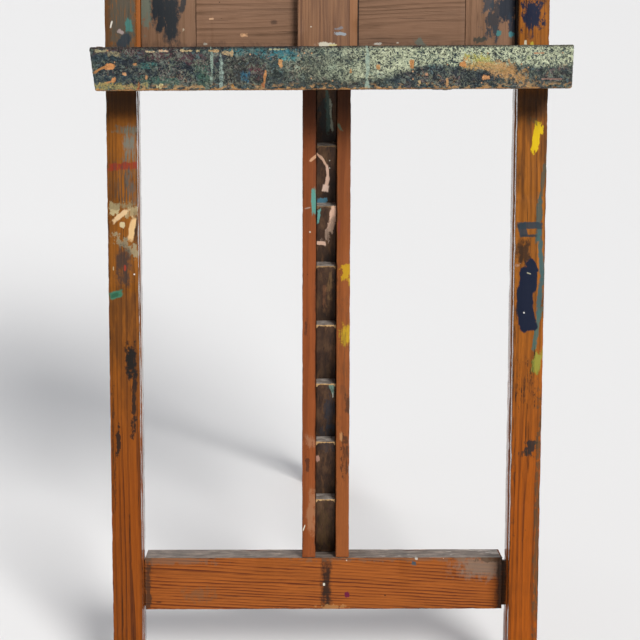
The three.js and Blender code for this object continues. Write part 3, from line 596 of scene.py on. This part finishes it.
RACK_STROKES = [
    dab("4f6a62", 2.5, 793, 3.4, 26, 0.7, -3, streak=0.4, cover=0.8),
    dab("a9ad9a", 6, 789, 1.7, 23, 0.7, -4, streak=0.3, cover=0.9),
    dab("1c2a2c", -5, 788, 4, 18, 0.8, cover=0.7), dab("d9b093", -10.5, 734.5, 1.5, 6, 0.3, -42),
    dab("dcb59a", -3.4, 727, 1.5, 8, 0.3, -30), dab("dfbaa4", 1.6, 713, 2, 10, 0.3, -6),
    dab("dfbaa4", 1.2, 700, 2.6, 9, 0.3, 10), dab("e6c7b4", -0.8, 690.5, 4.2, 4.5, 0.25, 12, square=True),
    dab("4a7d92", -5.5, 673.5, 6.5, 4, 0.5), dab("63a39c", -9.8, 656, 1.6, 9, 0.7, 6),
    dab("eac0a6", 9.2, 658, 4.2, 13, 0.3, 8, square=True), dab("c9a58e", 6, 641, 4.5, 9, 0.9, 18, streak=0.3),
    dab("a28a78", 0.5, 629, 4.2, 13, 1.1, 22, streak=0.7, cover=0.85),
    dab("e2bda6", -6, 616.5, 6.5, 2.4, 0.5, 4), dab("8a6a44", 5, 562, 3.4, 22, 1, 4, streak=0.8, cover=0.55),
    dab("8b5a3c", -2, 548, 2, 16, 1, streak=0.7, cover=0.4), dab("c9c2b0", 4.2, 728, 0.8, 0.9),
    dab("c9c2b0", 4.4, 718, 0.7, 0.9), dab("b98f7c", -11, 321.5, 2.6, 4.2, 0.5, -24),
    dab("6f8a7a", 9, 417, 2.2, 9, 1, -16), dab("d4d8c8", 9.8, 409, 0.9, 4, 0.6),
    dab("2a3440", 5, 387, 7, 22, 0.9, streak=0.6, cover=0.6),
    dab("27303c", 0, 345, 9, 16, 0.9, streak=0.6, cover=0.5),
    dab("4c3a20", -2, 226, 9, 30, 1, streak=0.7, cover=0.55),
]


def rack_oak():
    p = Paint("rack_oak")
    p.near_front(68, 75)
    fibres = p.grain((1, 1, 0.05), 3, 1.5, 3, 0.65)
    blotch = p.grain((1, 1, 0.35), 9, 11, 4, 0.65)
    color = p.ramp(blotch, [(0.28, "221711"), (0.45, "37251a"), (0.6, "4a3525"), (0.78, "5d4531")])
    color = p.mix(p.smooth(fibres, 0.5, 0.75, (0.0, 0.5)), color, "16100c")
    over = p.plus(p.z, p.times(p.y, -math.tan(LEAN)), LEDGE_TIP * math.tan(LEAN) - RAIL_FOOT)
    rise = p.times(p.math("FRACT", p.math("DIVIDE", over, PITCH)), PITCH)
    # Painted shade in the recesses: each tooth face darkens where it runs back just above the ledge below.
    color = p.mix(p.smooth(rise, 30, 4, (0.0, 0.5)), color, "14100d")
    brown = p.smooth(p.grain((1, 1, 0.12), 41, 7, 3, 0.6), 0.55, 0.7)
    color = p.mix(p.times(brown, 0.6), color, "5a3f28")
    color = lay(p, color, RACK_STROKES)
    side = p.math("ABSOLUTE", p.x)
    jag = p.times(p.minus(p.grain((1, 1, 0.1), 51, 4, 3, 0.6), 0.5), 5)
    reach = p.plus(p.smooth(side, 9.5, 13.0, (2.2, 5.0)), jag)
    below = p.minus(PITCH, rise)
    nose = p.times(p.smooth(p.minus(below, reach), 0.9, 0.0), p.smooth(p.y, 51, 47.5))
    low_down = p.smooth(p.z, 640, 520, (0.25, 1.0))
    nose_color = p.mix(p.noise(p.at, 3, 2), "7d5a34", "c9a877")
    color = p.mix(p.times(nose, low_down), color, nose_color)
    up = p.facing(0.7, 0.93)
    dust = p.ramp(p.grain((0.6, 1, 1), 5, 6, 3, 0.65), [(0.3, "4f4a45"), (0.5, "766f69"), (0.72, "9b948c")])
    color = p.mix(p.times(up, p.smooth(p.y, 44.2, 46.5)), color, dust)
    height = p.plus(p.times(fibres, 0.7), p.times(blotch, 0.5), p.times(p.cover, 0.8))
    rough = p.smooth(blotch, 0.3, 0.7, (0.5, 0.75))
    return p.done(color, rough, height, 0.35, coat=0.06)


def wear_ledge(co):
    """The ledges' noses are rubbed back and down, each in its own way."""
    level = round((co.z - RAIL_FOOT) / PITCH)
    tip = RAIL_FOOT + level * PITCH
    if co.y > LEDGE_TIP + 3 or level < 1 or co.z < tip - 12 or co.z > tip + 2:
        return
    where = Vector((co.x * 0.11, level * 3.7, 0.4))
    hollow = 1 - (co.x / 13.5) ** 2
    wear = 0.35 + 0.9 * abs(noise.noise(where)) + 0.7 * hollow * abs(noise.noise(Vector((level * 5.3, 1.2, 0))))
    nick = max(0.0, noise.noise(Vector((co.x * 0.5, level * 9.1, 2.0))) - 0.1)
    co.z -= 1.0 * wear + 1.6 * nick
    co.y += 1.3 * wear + 1.2 * nick


worn("ratchet_rack", rack_oak(), [(0, 1.5)], round_off=0.7, chips=0.3, seed=7, shape=wear_ledge)


# ---- panel, mast, runners, boards ----
MAST_EDGE = 40.2
MAST_REBATE = 28.4
PANEL_STROKES = [
    dab("6f7a6c", -236, 925, 7, 24, 0.6, streak=0.4, cover=0.85),
    dab("232a30", -220, 930, 9.5, 25, 0.35, streak=0.25, soft=0.3),
    dab("232a30", -218, 907, 5.5, 11, 0.5, streak=0.4),
    dab("262c31", -204, 913, 9.5, 31, 0.3, streak=0.3, soft=0.3),
    dab("2b3136", -188, 932, 3.6, 13, 0.5, 16, streak=0.4, cover=0.9),
    dab("c7b59a", -186.5, 898, 1.6, 1.8, 0.9),
    dab("2f353c", 219, 915, 9, 22, 0.7, 14, streak=0.45, cover=0.9),
    dab("33414c", 209, 931, 6.5, 10, 0.6, streak=0.5, cover=0.85),
    dab("39424a", 214, 896, 8, 9, 1, streak=0.7, cover=0.75),
    dab("232b38", 236, 927, 11, 18, 0.5, streak=0.25),
    dab("2b3a4a", 242, 905, 5, 13, 0.6, streak=0.4, cover=0.9), dab("4d8a88", 225, 895, 2.5, 2.6, 0.7),
    dab("5aa3ab", 240.5, 893, 3.8, 3, 0.8), dab("3b443f", 200, 885.5, 6, 3.4, 0.9, cover=0.8),
    dab("dcb08a", -152, 912, 3, 1.1, 0.6), dab("e3b083", -108, 891.5, 4.2, 2.6, 0.7),
    dab("c8bfae", -159, 879.5, 2.2, 1.2, 0.7), dab("33211a", -69, 908, 3.6, 2.4, 0.6, soft=0.6, cover=0.6),
    dab("6c7468", 122, 883, 5.5, 5, 0.9, cover=0.85), dab("d9d2c4", 66, 880.5, 4.6, 1.2, 0.7),
    dab("cfc6b4", 92, 882, 1.8, 1.1, 0.6),
    dab("40302a", 0, 872, 240, 7, 0.8, square=True, soft=0.8, cover=0.4),
    dab("2c3a44", -120, 1075, 16, 9, 0.9, streak=0.5, cover=0.75),
    dab("b9a376", 120, 1150, 7, 3, 0.6, 20, cover=0.8),
    dab("5f6f5e", 215, 1080, 10, 30, 0.7, streak=0.6, cover=0.75),
    dab("232a30", -210, 1090, 9, 40, 0.7, streak=0.6, cover=0.7),
]


def panel_pine(name, node, along, seed, light, dark, **options):
    p = Paint(name)
    p.near_front(20.5, 26)
    low, high = box_mm(node)
    color, height, rough = timber(p, node, along, light, dark, seed=seed, **options)
    shadow_gap = p.smooth(p.math("ABSOLUTE", p.minus(p.x, MAST_EDGE)), 1.5, 0.7, (0.0, 0.92))
    color = p.mix(shadow_gap, color, "120b07")
    near = [s for s in PANEL_STROKES if low[0] - 30 < s[1] < high[0] + 30 and low[2] - 30 < s[2] < high[2] + 30
            or s[3] > 200 and low[2] < s[2] < high[2]]
    if near:
        color = lay(p, color, near)
        rough = wet_look(p, rough)
    return p.done(color, rough, height, 0.25, coat=0.04, coat_rough=0.4)


for number in range(1, 5):
    node = f"panel_plank_{number}"
    plank = panel_pine(
        f"plank_{number}_pine", node, "x", 20.0 + 3 * number, "80604a", "49321f", ring=7.5, warp=26, run=0.08,
        contrast=0.5, cracks=0.45, slope=0.02 * (-1) ** number, grime_share=0.4,
    )
    worn(node, plank, [(0, 9)], round_off=0.8, chips=0.5, seed=10 + number)
for side, seed, light, dark in (("left", 40.0, "7b5c46", "50371f"), ("right", 44.0, "87654d", "5a3f2a")):
    node = f"panel_{side}_cleat"
    cleat = panel_pine(
        f"cleat_{side}_pine", node, "z", seed, light, dark, ring=9, warp=30, run=0.05, tilt=0.4, contrast=0.36,
        cracks=0.45, grime_share=0.4,
    )
    worn(node, cleat, [(2, 9)], round_off=0.8, chips=0.5, seed=seed)


def red_pine(name, node, along="z", seed=50.0, strokes=(), ring=4.4, shade=0.0):
    p = Paint(name)
    p.near_front(2.5, 7)
    color, height, rough = timber(
        p, node, along, "876246", "62402d", ring=ring, warp=12, run=0.03, tilt=0.35, seed=seed, contrast=0.4,
        cracks=0.5, grime_share=0.5,
    )
    if strokes:
        strip = p.smooth(p.x, 28.2, 29.2)
        streaks = p.smooth(p.grain((1, 1, 0.03), 77, 5, 3, 0.6), 0.42, 0.62, (0.0, 0.5))
        color = p.mix(p.times(streaks, p.minus(1.0, strip)), color, "4b3229")
        color = p.mix(p.times(strip, 0.75), color, p.mix(p.grain((1, 1, 0.1), 80, 9, 3), "76492c", "9a6e4a"))
        color = p.mix(p.smooth(p.math("ABSOLUTE", p.minus(p.x, MAST_REBATE)), 0.7, 0.3, (0.0, 0.5)), color, "2b1a12")
        color = lay(p, color, strokes)
        rough = wet_look(p, rough)
    if shade:
        color = p.mix(shade, color, "5a2f18")
    return p.done(color, rough, height, 0.25, coat=0.08, coat_rough=0.4)


worn("mast_board", red_pine("mast_pine", "mast_board", seed=52.0, strokes=[
    dab("aab4bc", 18, 892, 6.5, 1.8, 0.6, 4, streak=0.3, cover=0.9),
    dab("8d96a0", 14, 899, 5, 1.2, 0.9, -10, cover=0.6), dab("e9e2cc", 0, 877.5, 11, 3, 0.7),
    dab("e4d69a", 8, 877, 5, 2, 0.7), dab("d8c9b4", -21.5, 901, 1.1, 1),
    dab("2c3a44", 6, 1040, 14, 8, 0.8, streak=0.5, cover=0.8),
    dab("c9a24a", -14, 1130, 5, 3, 0.6, 25, cover=0.85),
    dab("6f8a7a", 10, 1250, 6, 16, 0.7, streak=0.6, cover=0.7),
]), [(2, 8)], round_off=0.9, chips=0.6, seed=21)
worn("clamp_block", red_pine("clamp_pine", "clamp_block", "z", 61.0, shade=0.3), [(2, 6)], round_off=2.2, seed=22)
worn("clamp_jaw", red_pine("jaw_pine", "clamp_jaw", "x", 64.0, shade=0.3), [(0, 6)], round_off=1.6, seed=23)


def plain_timber(name, node, along, light, dark, seed, axes=FRAME, **options):
    p = Paint(name, axes)
    color, height, rough = timber(p, node, along, light, dark, seed=seed, axes=axes, **options)
    return p.done(color, rough, height, 0.3, coat=0.1, coat_rough=0.4)


# Painted light and shade: the left runner's pine is coloured a brighter orange, partly for the light falling on it,
# and the right runner is coloured near-black as painted shadow from the right leg.
worn("runner_left", plain_timber(
    "runner_left_pine_painted_light", "runner_left", "z", "9f5b21", "753d12", 70, ring=9, contrast=0.4,
), [(2, 12)], round_off=0.5, chips=0.3, seed=30)
worn("runner_right", plain_timber("runner_right_painted_shade", "runner_right", "z", "2e251f", "1c1511", 73, contrast=0.4),
     [(2, 12)], round_off=0.5, chips=0.3, seed=31)
worn("ratchet_back_board", plain_timber(
    "back_board_pine", "ratchet_back_board", "z", "7d5535", "4e321d", 76, ring=7.5, warp=30, run=0.04,
), [(2, 8)], round_off=1.4, seed=32)
worn("hinge_block", plain_timber("hinge_block_pine", "hinge_block", "x", "8f5529", "5a2e10", 79, run=0.2),
     [(0, 8)], round_off=1.4, seed=33)
worn("rear_leg", plain_timber(
    "rear_leg_pine", "rear_leg", "z", "8f5623", "532a0c", 82, axes=REAR, ring=6.4, warp=24, run=0.03,
), [(2, 7)], round_off=1.6, chips=1.2, axes=REAR, seed=34)


# ---- tray ----
LIP_SLOPE = math.tan(math.radians(0.5))
LIP_GROUND_STROKES = [
    dab("141f2b", -235, 846, 48, 12, 0.4, soft=0.5, cover=0.9),
    dab("141f2c", -187, 838, 26, 11, 0.4, soft=0.5, cover=0.9),
    crust("37594c", -157, 838, 9, 26, 0.5, soft=0.4), crust("3f6457", -214, 828, 26, 6, 0.7),
    crust("2f6460", -225, 848, 9, 4, 0.7), dab("33322f", -108, 842, 26, 20, 0.5, soft=0.5, cover=0.85),
    crust("5a3238", -91, 840, 9, 7, 0.7, soft=0.5), crust("24607a", -104, 834, 6, 6, 0.9, soft=0.4),
    crust("4b3035", -262, 866, 36, 5, 0.7, soft=0.4), crust("4a2d33", -205, 861, 30, 8, 0.5, soft=0.4),
    crust("4f333a", -168, 856, 22, 6, 0.6, soft=0.4), crust("2f6f74", -92, 866, 34, 5, 0.8, soft=0.4),
    crust("26808e", -58, 862, 16, 6, 0.9, soft=0.5), crust("33989e", -52, 857, 8, 3, 1, soft=0.35),
    dab("3a3f36", 0, 836, 60, 20, 0.4, soft=0.7, cover=0.7),
    dab("1c262f", 150, 834, 62, 14, 0.35, soft=0.35, cover=0.92),
    dab("1d2732", 283, 834, 30, 13, 0.4, soft=0.35, cover=0.3),
]
LIP_TOP_STROKES = [
    crust("b3ad55", 192, 855, 15, 7, 0.7, soft=0.3), crust("a9a763", 206, 850, 18, 4, 0.8, 22),
    crust("bd935a", 196, 848, 22, 4.5, 0.9, 10, soft=0.4),
    crust("bb9260", 219, 842, 17, 8, 0.9, 30, soft=0.4), crust("b08755", 243, 834, 19, 7, 1, 34, soft=0.5),
    crust("93a899", -146.5, 844, 1.4, 27, 0.9), crust("9aada2", -134.5, 842, 2, 26, 0.9),
    dab("a0b3a2", 48.8, 846, 2.4, 26, 0.8, cover=0.8), dab("c98a54", -273, 846, 5.5, 3.6, 0.3, soft=0.15),
    dab("b9824e", -289, 841, 6.5, 1.3, 0.5, -32, cover=0.9), dab("b57d48", -281, 845, 3, 1, 0.5, -30),
    dab("c48856", -269, 829, 2.6, 2.6, 0.5), dab("b57f50", -277, 826, 5.5, 1.2, 0.6, -16),
    dab("c79468", -256, 837, 2.6, 1.9, 0.6), dab("b98558", -243, 849, 2.3, 1.5, 0.6),
    dab("b98a60", -228, 833, 1.5, 2.8, 0.6, 15), dab("a59d7a", -285, 865, 5.5, 1.6, 0.9, cover=0.85),
    crust("94896a", -269, 862, 7, 3, 1.2), dab("c4b08a", -222, 864.5, 6, 1.2, 0.9),
    dab("c7a988", -207, 865.5, 5, 1.1, 0.8), dab("bda67c", -176, 866, 9, 1.2, 0.9),
    dab("bd9c70", -142, 866, 6, 1.2, 0.9), crust("b79c74", -130, 863, 6, 2.4, 1.1),
    dab("a9a887", -66, 868, 8, 0.9, 1), dab("c4925f", -60, 851, 2.6, 5, 0.6),
    dab("bd824f", -80, 832, 1.3, 9, 0.7, 8), dab("a96c44", -82, 822, 1.8, 4, 0.6),
    dab("8f3a24", -238, 822, 1.5, 4.5, 0.6, 12), dab("c9be8c", -211, 823, 3, 4.4, 0.8, 30),
    dab("a5783f", -120, 822, 2, 3.6, 0.7, -25), dab("c2935f", 62, 846, 2.8, 2.7, 0.6),
    dab("bd8752", 104, 850.5, 2.5, 5, 0.5), dab("c98c52", 168, 851, 4, 3, 0.6),
    dab("c9905f", 197, 834, 4.2, 2.6, 0.6, 12), dab("c29563", 149, 828, 2, 4, 0.5),
    dab("b99d70", 114, 828.5, 1.8, 2.2, 0.6), dab("bd8f70", 123, 838, 1.7, 2, 0.6),
    dab("b98e5c", 27.5, 842, 1.7, 3, 0.6), dab("b98e5c", 227, 839, 4, 1.8, 0.9),
    dab("b4ba94", 251, 858.5, 2.8, 3.4, 0.3), dab("5c6a4c", 251, 858.5, 1.4, 1.9, 0.3),
    dab("bd7c52", 262, 864.5, 5.6, 0.8, 0.8), dab("9f7a6c", 280, 832.5, 12, 0.8, 1, cover=0.7),
    crust("a0935c", -268, 821, 30, 4, 1.1, soft=0.4),
]


def tray_paint():
    """Years of brushwork: curling flecks of many colours over a dark ground, worn to the wood along its arris."""
    p = Paint("tray_lip_paint")
    p.near_front(-60, -52)
    p.shade = 0.92
    curl = p.veins(p.scaled((1, 1, 1), 3), 9, 0.055, 3, 1.2)
    curl_2 = p.veins(p.scaled((1, 1, 1.2), 17), 7.5, 0.05, 3, 0.8)
    relief = p.grain((1, 1, 1.2), 29, 3.6, 4, 0.62, 1.2)
    drift = p.grain((0.5, 1, 1), 7, 22, 4, 0.6)
    tone = p.grain((0.8, 1, 1), 37, 15, 3, 0.6)
    color = p.ramp(drift, [(0.3, "1c252c"), (0.45, "27333a"), (0.55, "2f3a37"), (0.68, "3d3733"), (0.8, "253033")])
    p.crust = p.plus(p.times(p.smooth(relief, 0.42, 0.56), 0.75), 0.25)
    color = lay(p, color, LIP_GROUND_STROKES)
    flecks = p.ramp(tone, [(0.3, "4a6f6b"), (0.42, "5d6d70"), (0.5, "727a63"), (0.58, "6c5c5e"), (0.68, "8a6f50")])
    busy = p.smooth(drift, 0.4, 0.62, (0.3, 0.75))
    color = p.mix(p.times(curl, busy), color, flecks)
    color = p.mix(p.times(curl_2, p.smooth(tone, 0.4, 0.62), 0.5), color, "828e80")
    right = p.smooth(p.plus(p.x, p.times(p.minus(drift, 0.5), 160)), -70, 30)
    line = p.plus(p.smooth(p.x, 60, 120, (832, 849)), p.times(p.minus(drift, 0.5), 26))
    high_up = p.smooth(p.minus(p.z, line), -5, 5)
    sage = p.mix(p.smooth(tone, 0.42, 0.58), "6f7d69", "b3b896")
    sage = p.mix(p.smooth(drift, 0.52, 0.62), sage, "93ab9e")
    pale = p.times(right, high_up)
    fresh = p.smooth(p.x, -20, 110, (0.55, 1.0))
    color = p.mix(p.times(pale, fresh, p.smooth(relief, 0.46, 0.55), 0.75), color, sage)
    color = p.mix(p.times(pale, fresh, p.math("MAXIMUM", curl, curl_2), 0.8), color, "c3c9a8")
    gaps = p.smooth(p.grain((1, 1, 1), 61, 4, 4, 0.6, 1.0), 0.54, 0.6)
    color = p.mix(p.times(gaps, 0.8), color, "161d20")
    rim = p.plus(p.z, p.times(p.x, -LIP_SLOPE), p.times(p.minus(relief, 0.5), 8))
    color = p.mix(p.smooth(rim, 868.5, 871.5, (0.0, 0.8)), color, "2a1e1a")
    color = lay(p, color, LIP_TOP_STROKES)
    dots = p.specks(8.5, 0.22, 0.95, 5)
    color = p.mix(p.times(dots, 0.85), color, p.mix(tone, "94663a", "d0a57e"))
    base = p.plus(p.z, p.times(p.x, -LIP_SLOPE))
    chips = p.times(p.smooth(base, 829, 820.5), p.smooth(p.grain((0.6, 1, 1), 43, 5, 4, 0.65), 0.53, 0.58))
    color = p.mix(p.times(chips, 0.85), color, p.mix(tone, "9a6d42", "b99a6a"))
    rag = p.times(p.minus(p.grain((0.5, 1, 1), 2, 7, 4, 0.7), 0.5), 9)
    foot = p.smooth(p.plus(base, rag), 820.6, 818.6)
    bare = p.mix(p.grain((0.2, 1, 1), 4, 5, 3), "7d4a26", "d09a5a")
    front_foot = p.times(foot, p.smooth(p.y, -64, -67))
    color = p.mix(p.times(front_foot, 0.9), color, bare)
    ends = p.smooth(p.plus(p.math("ABSOLUTE", p.minus(p.x, 5)), rag), 303, 306)
    color = p.mix(p.times(ends, 0.6), color, p.mix(p.noise(p.at, 6, 2), "4a2d1b", "a5703e"))
    behind = p.smooth(p.y, -63, -58)
    wood = p.ramp(p.grain((0.05, 1, 1), 5, 3, 4, 0.6), [(0.3, "2b1e15"), (0.5, "4f3826"), (0.7, "6b4e35")])
    smear = p.smooth(p.grain((0.4, 1, 1), 12, 20, 4, 0.6), 0.5, 0.6)
    wood = p.mix(p.times(smear, 0.8), wood, p.mix(p.noise(p.at, 25, 2), "35474a", "77806a"))
    color = p.mix(behind, color, wood)
    height = p.plus(p.times(curl, 0.6), p.times(curl_2, 0.5), p.times(relief, 0.8), p.times(gaps, -0.6))
    rough = p.smooth(relief, 0.35, 0.65, (0.34, 0.6))
    return p.done(color, rough, height, 0.8, coat=0.1, coat_rough=0.3)


def thick_paint(node, material):
    """The lip's surface at about a millimetre, raised into the ridges and flecks that brushes leave."""
    work = clean_copy(node, FRAME)
    edges = [e for e in work.edges if e.calc_face_angle(0.0) > math.radians(50)]
    bmesh.ops.bevel(work, geom=edges, offset=1.8, segments=3, profile=0.5, affect="EDGES", clamp_overlap=True)
    work.transform(FRAME.to_row)
    mesh = mesh_of(node + "_paint", work)
    coarse = placed("coarse", mesh)
    remesh = coarse.modifiers.new("remesh", "REMESH")
    remesh.mode = "VOXEL"
    remesh.voxel_size = 0.0012
    dense = bpy.data.meshes.new_from_object(coarse.evaluated_get(bpy.context.evaluated_depsgraph_get()))
    bpy.data.objects.remove(coarse)
    dense.name = node + "_paint"
    count = len(dense.vertices)
    co = np.empty(count * 3)
    dense.vertices.foreach_get("co", co)
    normals = np.empty(count * 3)
    dense.vertex_normals.foreach_get("vector", normals)
    co, normals = co.reshape(-1, 3), normals.reshape(-1, 3)
    turn = np.array(FRAME.to_mm)
    local = co @ turn[:3, :3].T + turn[:3, 3]
    lift = np.zeros(count)
    for i, (x, y, z) in enumerate(local):
        slow = noise.noise((x * 0.03, y * 0.03, z * 0.05))
        ridge = 1 - abs(noise.noise((x * 0.28, y * 0.28, z * 0.34))) * 2.2
        fine = noise.noise((x * 0.62, y * 0.62, z * 0.7))
        crusty = max(0.0, ridge) ** 2
        lift[i] = -0.75 + 0.3 * slow + 0.5 * crusty + 0.22 * fine
    co += normals * (lift / 1000)[:, None]
    dense.vertices.foreach_set("co", co.reshape(-1))
    dense.shade_smooth()
    return piece(node + "_paint", dense, node, material)


thick_paint("tray_lip", tray_paint())


def tray_wood(name, node, along, seed):
    """Bare wood inside the tray, stained by spilt colours."""
    p = Paint(name)
    color, height, rough = timber(
        p, node, along, "7a5a40", "4a3323", ring=7, warp=20, run=0.12, seed=seed, contrast=0.5, grime_share=0.7
    )
    spill = p.grain((0.7, 1, 1), seed, 26, 4, 0.6, 0.6)
    wash = p.ramp(p.grain((0.6, 1, 1), seed + 6, 40, 3, 0.6),
                  [(0.3, "26323a"), (0.42, "4d5b4d"), (0.5, "7b8069"), (0.58, "5c3c34"), (0.7, "8c7a4a")])
    color = p.mix(p.smooth(spill, 0.46, 0.56, (0.0, 0.88)), color, wash)
    color = p.mix(p.times(p.specks(11, 0.35, 1.7, seed), 0.9), color, p.mix(p.noise(p.at, 30, 1), "c9b48a", "b5603a"))
    spots = p.times(p.specks(19, 0.3, 2.2, seed + 3), 0.9)
    color = p.mix(spots, color, p.mix(p.noise(p.at, 34, 1), "2f4f6a", "e4dcc6"))
    height = p.plus(height, p.times(p.smooth(spill, 0.46, 0.56), 0.5))
    return p.done(color, rough, height, 0.4, coat=0.1, coat_rough=0.35)


worn("tray_floor", tray_wood("tray_floor_wood", "tray_floor", "x", 90), [(0, 9)], round_off=1.0, seed=41)
worn("tray_back_rail", tray_wood("tray_rail_wood", "tray_back_rail", "x", 93), [(0, 9)], round_off=1.2, seed=42)
for side, seed in (("left", 96), ("right", 99)):
    node = f"tray_end_{side}"
    worn(node, tray_wood(f"tray_end_{side}_wood", node, "z", seed), [(1, 6)], round_off=1.2, seed=seed)


# ---- hand knob ----
def knob_wood():
    p = Paint("knob_wood")
    fibres = p.grain((0.06, 1, 1), 6, 1.6, 3, 0.6)
    blotch = p.noise(p.at, 9, 3, 0.6)
    blend = p.plus(p.times(fibres, 0.6), p.times(blotch, 0.4))
    color = p.ramp(blend, [(0.3, "1d120b"), (0.5, "3a2416"), (0.7, "553722")])
    color = p.mix(p.times(p.specks(12, 0.3, 1.2, 3), 0.8), color, "8a8f86")
    return p.done(color, 0.42, fibres, 0.2, coat=0.25, coat_rough=0.3)


worn("clamp_knob", knob_wood(), [], round_off=2.6, chips=0.0, wave=0.1, seed=51, segments=4)


# ---- irons and screws ----
def iron():
    p = Paint("aged_iron")
    scale = p.noise(p.at, 5, 5, 0.65)
    fine = p.noise(p.at, 1.1, 3, 0.6)
    color = p.ramp(scale, [(0.3, "1b1715"), (0.5, "2c2521"), (0.62, "4a2f1f"), (0.78, "6e4223")])
    color = p.mix(p.smooth(fine, 0.55, 0.7, (0.0, 0.5)), color, "7a4a28")
    metal = p.smooth(scale, 0.62, 0.5, (0.15, 0.85))
    rough = p.smooth(scale, 0.35, 0.7, (0.42, 0.85))
    return p.done(color, rough, p.plus(scale, p.times(fine, 0.4)), 0.25, metal=metal)


def bright_steel():
    p = Paint("worn_steel")
    scale = p.noise(p.at, 3, 4, 0.6)
    color = p.ramp(scale, [(0.35, "8c857b"), (0.55, "6b6359"), (0.7, "5a4330")])
    rough = p.smooth(scale, 0.4, 0.7, (0.32, 0.7))
    return p.done(color, rough, scale, 0.1, metal=p.smooth(scale, 0.72, 0.55, (0.4, 1.0)))


IRON = iron()
STEEL = bright_steel()
for node, round_off, axes in (
    ("tray_bracket_left", 0.5, FRAME),
    ("tray_bracket_right", 0.5, FRAME),
    ("pawl_bracket", 0.4, FRAME),
    ("pawl", 0.7, FRAME),
    ("hinge_fixed_leaf", 0.4, FRAME),
    ("hinge_moving_leaf", 0.4, REAR),
):
    worn(node, IRON, [], round_off=round_off, chips=0.0, wave=0.0, axes=axes, sharp=35)
for node in ("pawl_pin", "hinge_pin", "clamp_screw"):
    worn(node, STEEL, [], round_off=0.35, chips=0.0, wave=0.0, sharp=50)


def slotted(node, turn):
    """A round-headed screw with a straight slot across its dome."""
    work = bmesh.new()
    work.from_mesh(NODES[node].data)
    bmesh.ops.remove_doubles(work, verts=work.verts, dist=5e-6)
    co = np.array([v.co for v in work.verts])
    middle = co.mean(0)
    axis = np.linalg.svd(co - middle)[2][0]
    along = (co - middle) @ axis
    spread = np.linalg.norm((co - middle) - along[:, None] * axis, axis=1)
    if along[spread.argmax()] < 0:
        axis, along = -axis, -along
    top = Vector(middle + axis * along.max())
    up = Vector(axis)
    side = up.orthogonal().normalized()
    side.rotate(Matrix.Rotation(turn, 3, up))
    mesh = mesh_of(node + "_slotted", work)
    bar = bmesh.new()
    bmesh.ops.create_cube(bar, size=1.0)
    across = up.cross(side)
    basis = Matrix((side * 0.02, across * 0.0013, up * 0.0024)).transposed().to_4x4()
    bar.transform(Matrix.Translation(top) @ basis)
    bar_mesh = mesh_of("slot", bar)
    blank = placed("blank", mesh)
    cutter = placed("cutter", bar_mesh)
    cut = blank.modifiers.new("slot", "BOOLEAN")
    cut.operation, cut.object, cut.solver = "DIFFERENCE", cutter, "EXACT"
    finished = bpy.data.meshes.new_from_object(blank.evaluated_get(bpy.context.evaluated_depsgraph_get()))
    finished.name = node + "_slotted"
    for obj in (blank, cutter):
        bpy.data.objects.remove(obj)
    finished.shade_smooth()
    finished.set_sharp_from_angle(angle=math.radians(40))
    return piece(node + "_slotted", finished, node, STEEL)


screws = [node for node in sorted(NODES) if "screw_" in node and node != "clamp_screw"]
for i, node in enumerate(screws):
    slotted(node, 0.4 + 2.4 * i)

# ---- camera, floor and light ----
floor_mesh = bpy.data.meshes.new("floor")
floor_mesh.from_pydata([(-60, -60, 0), (60, -60, 0), (60, 60, 0), (-60, 60, 0)], [], [(0, 1, 2, 3)])
floor = placed("floor", floor_mesh)
floor_paint = bpy.data.materials.new("pale_floor")
floor_paint.use_nodes = True
floor_look = floor_paint.node_tree.nodes["Principled BSDF"].inputs
floor_look["Base Color"].default_value = (0.74, 0.735, 0.73, 1)
floor_look["Roughness"].default_value = 0.75
floor_mesh.materials.append(floor_paint)

camera_data = bpy.data.cameras.new("camera")
camera_data.lens = 85.14
camera_data.sensor_width = 36
camera_data.clip_end = 200
camera = placed("camera", camera_data)
CAMERA_YAW = math.radians(0.932)
CAMERA_DOWN = math.radians(14.882)
CAMERA_ROLL = math.radians(0.275)
CAMERA_PLACE = (-0.045, -2.285, 1.0285)
camera.matrix_world = (
    Matrix.Translation(CAMERA_PLACE)
    @ Matrix.Rotation(-CAMERA_YAW, 4, "Z")
    @ Matrix.Rotation(math.pi / 2 - CAMERA_DOWN, 4, "X")
    @ Matrix.Rotation(CAMERA_ROLL, 4, "Z")
)
bpy.context.scene.camera = camera


def lamp(name, place, aim, size, power):
    data = bpy.data.lights.new(name, "AREA")
    data.shape = "DISK"
    data.size = size
    data.energy = power
    obj = placed(name, data)
    obj.location = place
    obj.rotation_euler = (Vector(aim) - Vector(place)).to_track_quat("-Z", "Y").to_euler()


def sun(name, toward, strength, spread, color):
    data = bpy.data.lights.new(name, "SUN")
    data.energy = strength
    data.angle = math.radians(spread)
    data.color = color
    obj = placed(name, data)
    obj.rotation_euler = (-Vector(toward)).to_track_quat("-Z", "Y").to_euler()


sun("key", (0.42, -0.87, 0.74), 3.3, 20, (1.0, 0.985, 0.96))
sun("rim", (-0.6, 0.9, 0.9), 0.7, 40, (0.97, 0.98, 1.0))
lamp("fill", (-3.4, -1.5, 1.9), (0, -0.2, 0.75), 2.4, 6)
world = bpy.data.worlds.new("studio")
world.use_nodes = True
sky = world.node_tree.nodes["Background"].inputs
sky["Color"].default_value = (0.93, 0.95, 1.0, 1)
sky["Strength"].default_value = 0.42
bpy.context.scene.world = world
bpy.context.scene.view_settings.view_transform = "Standard"
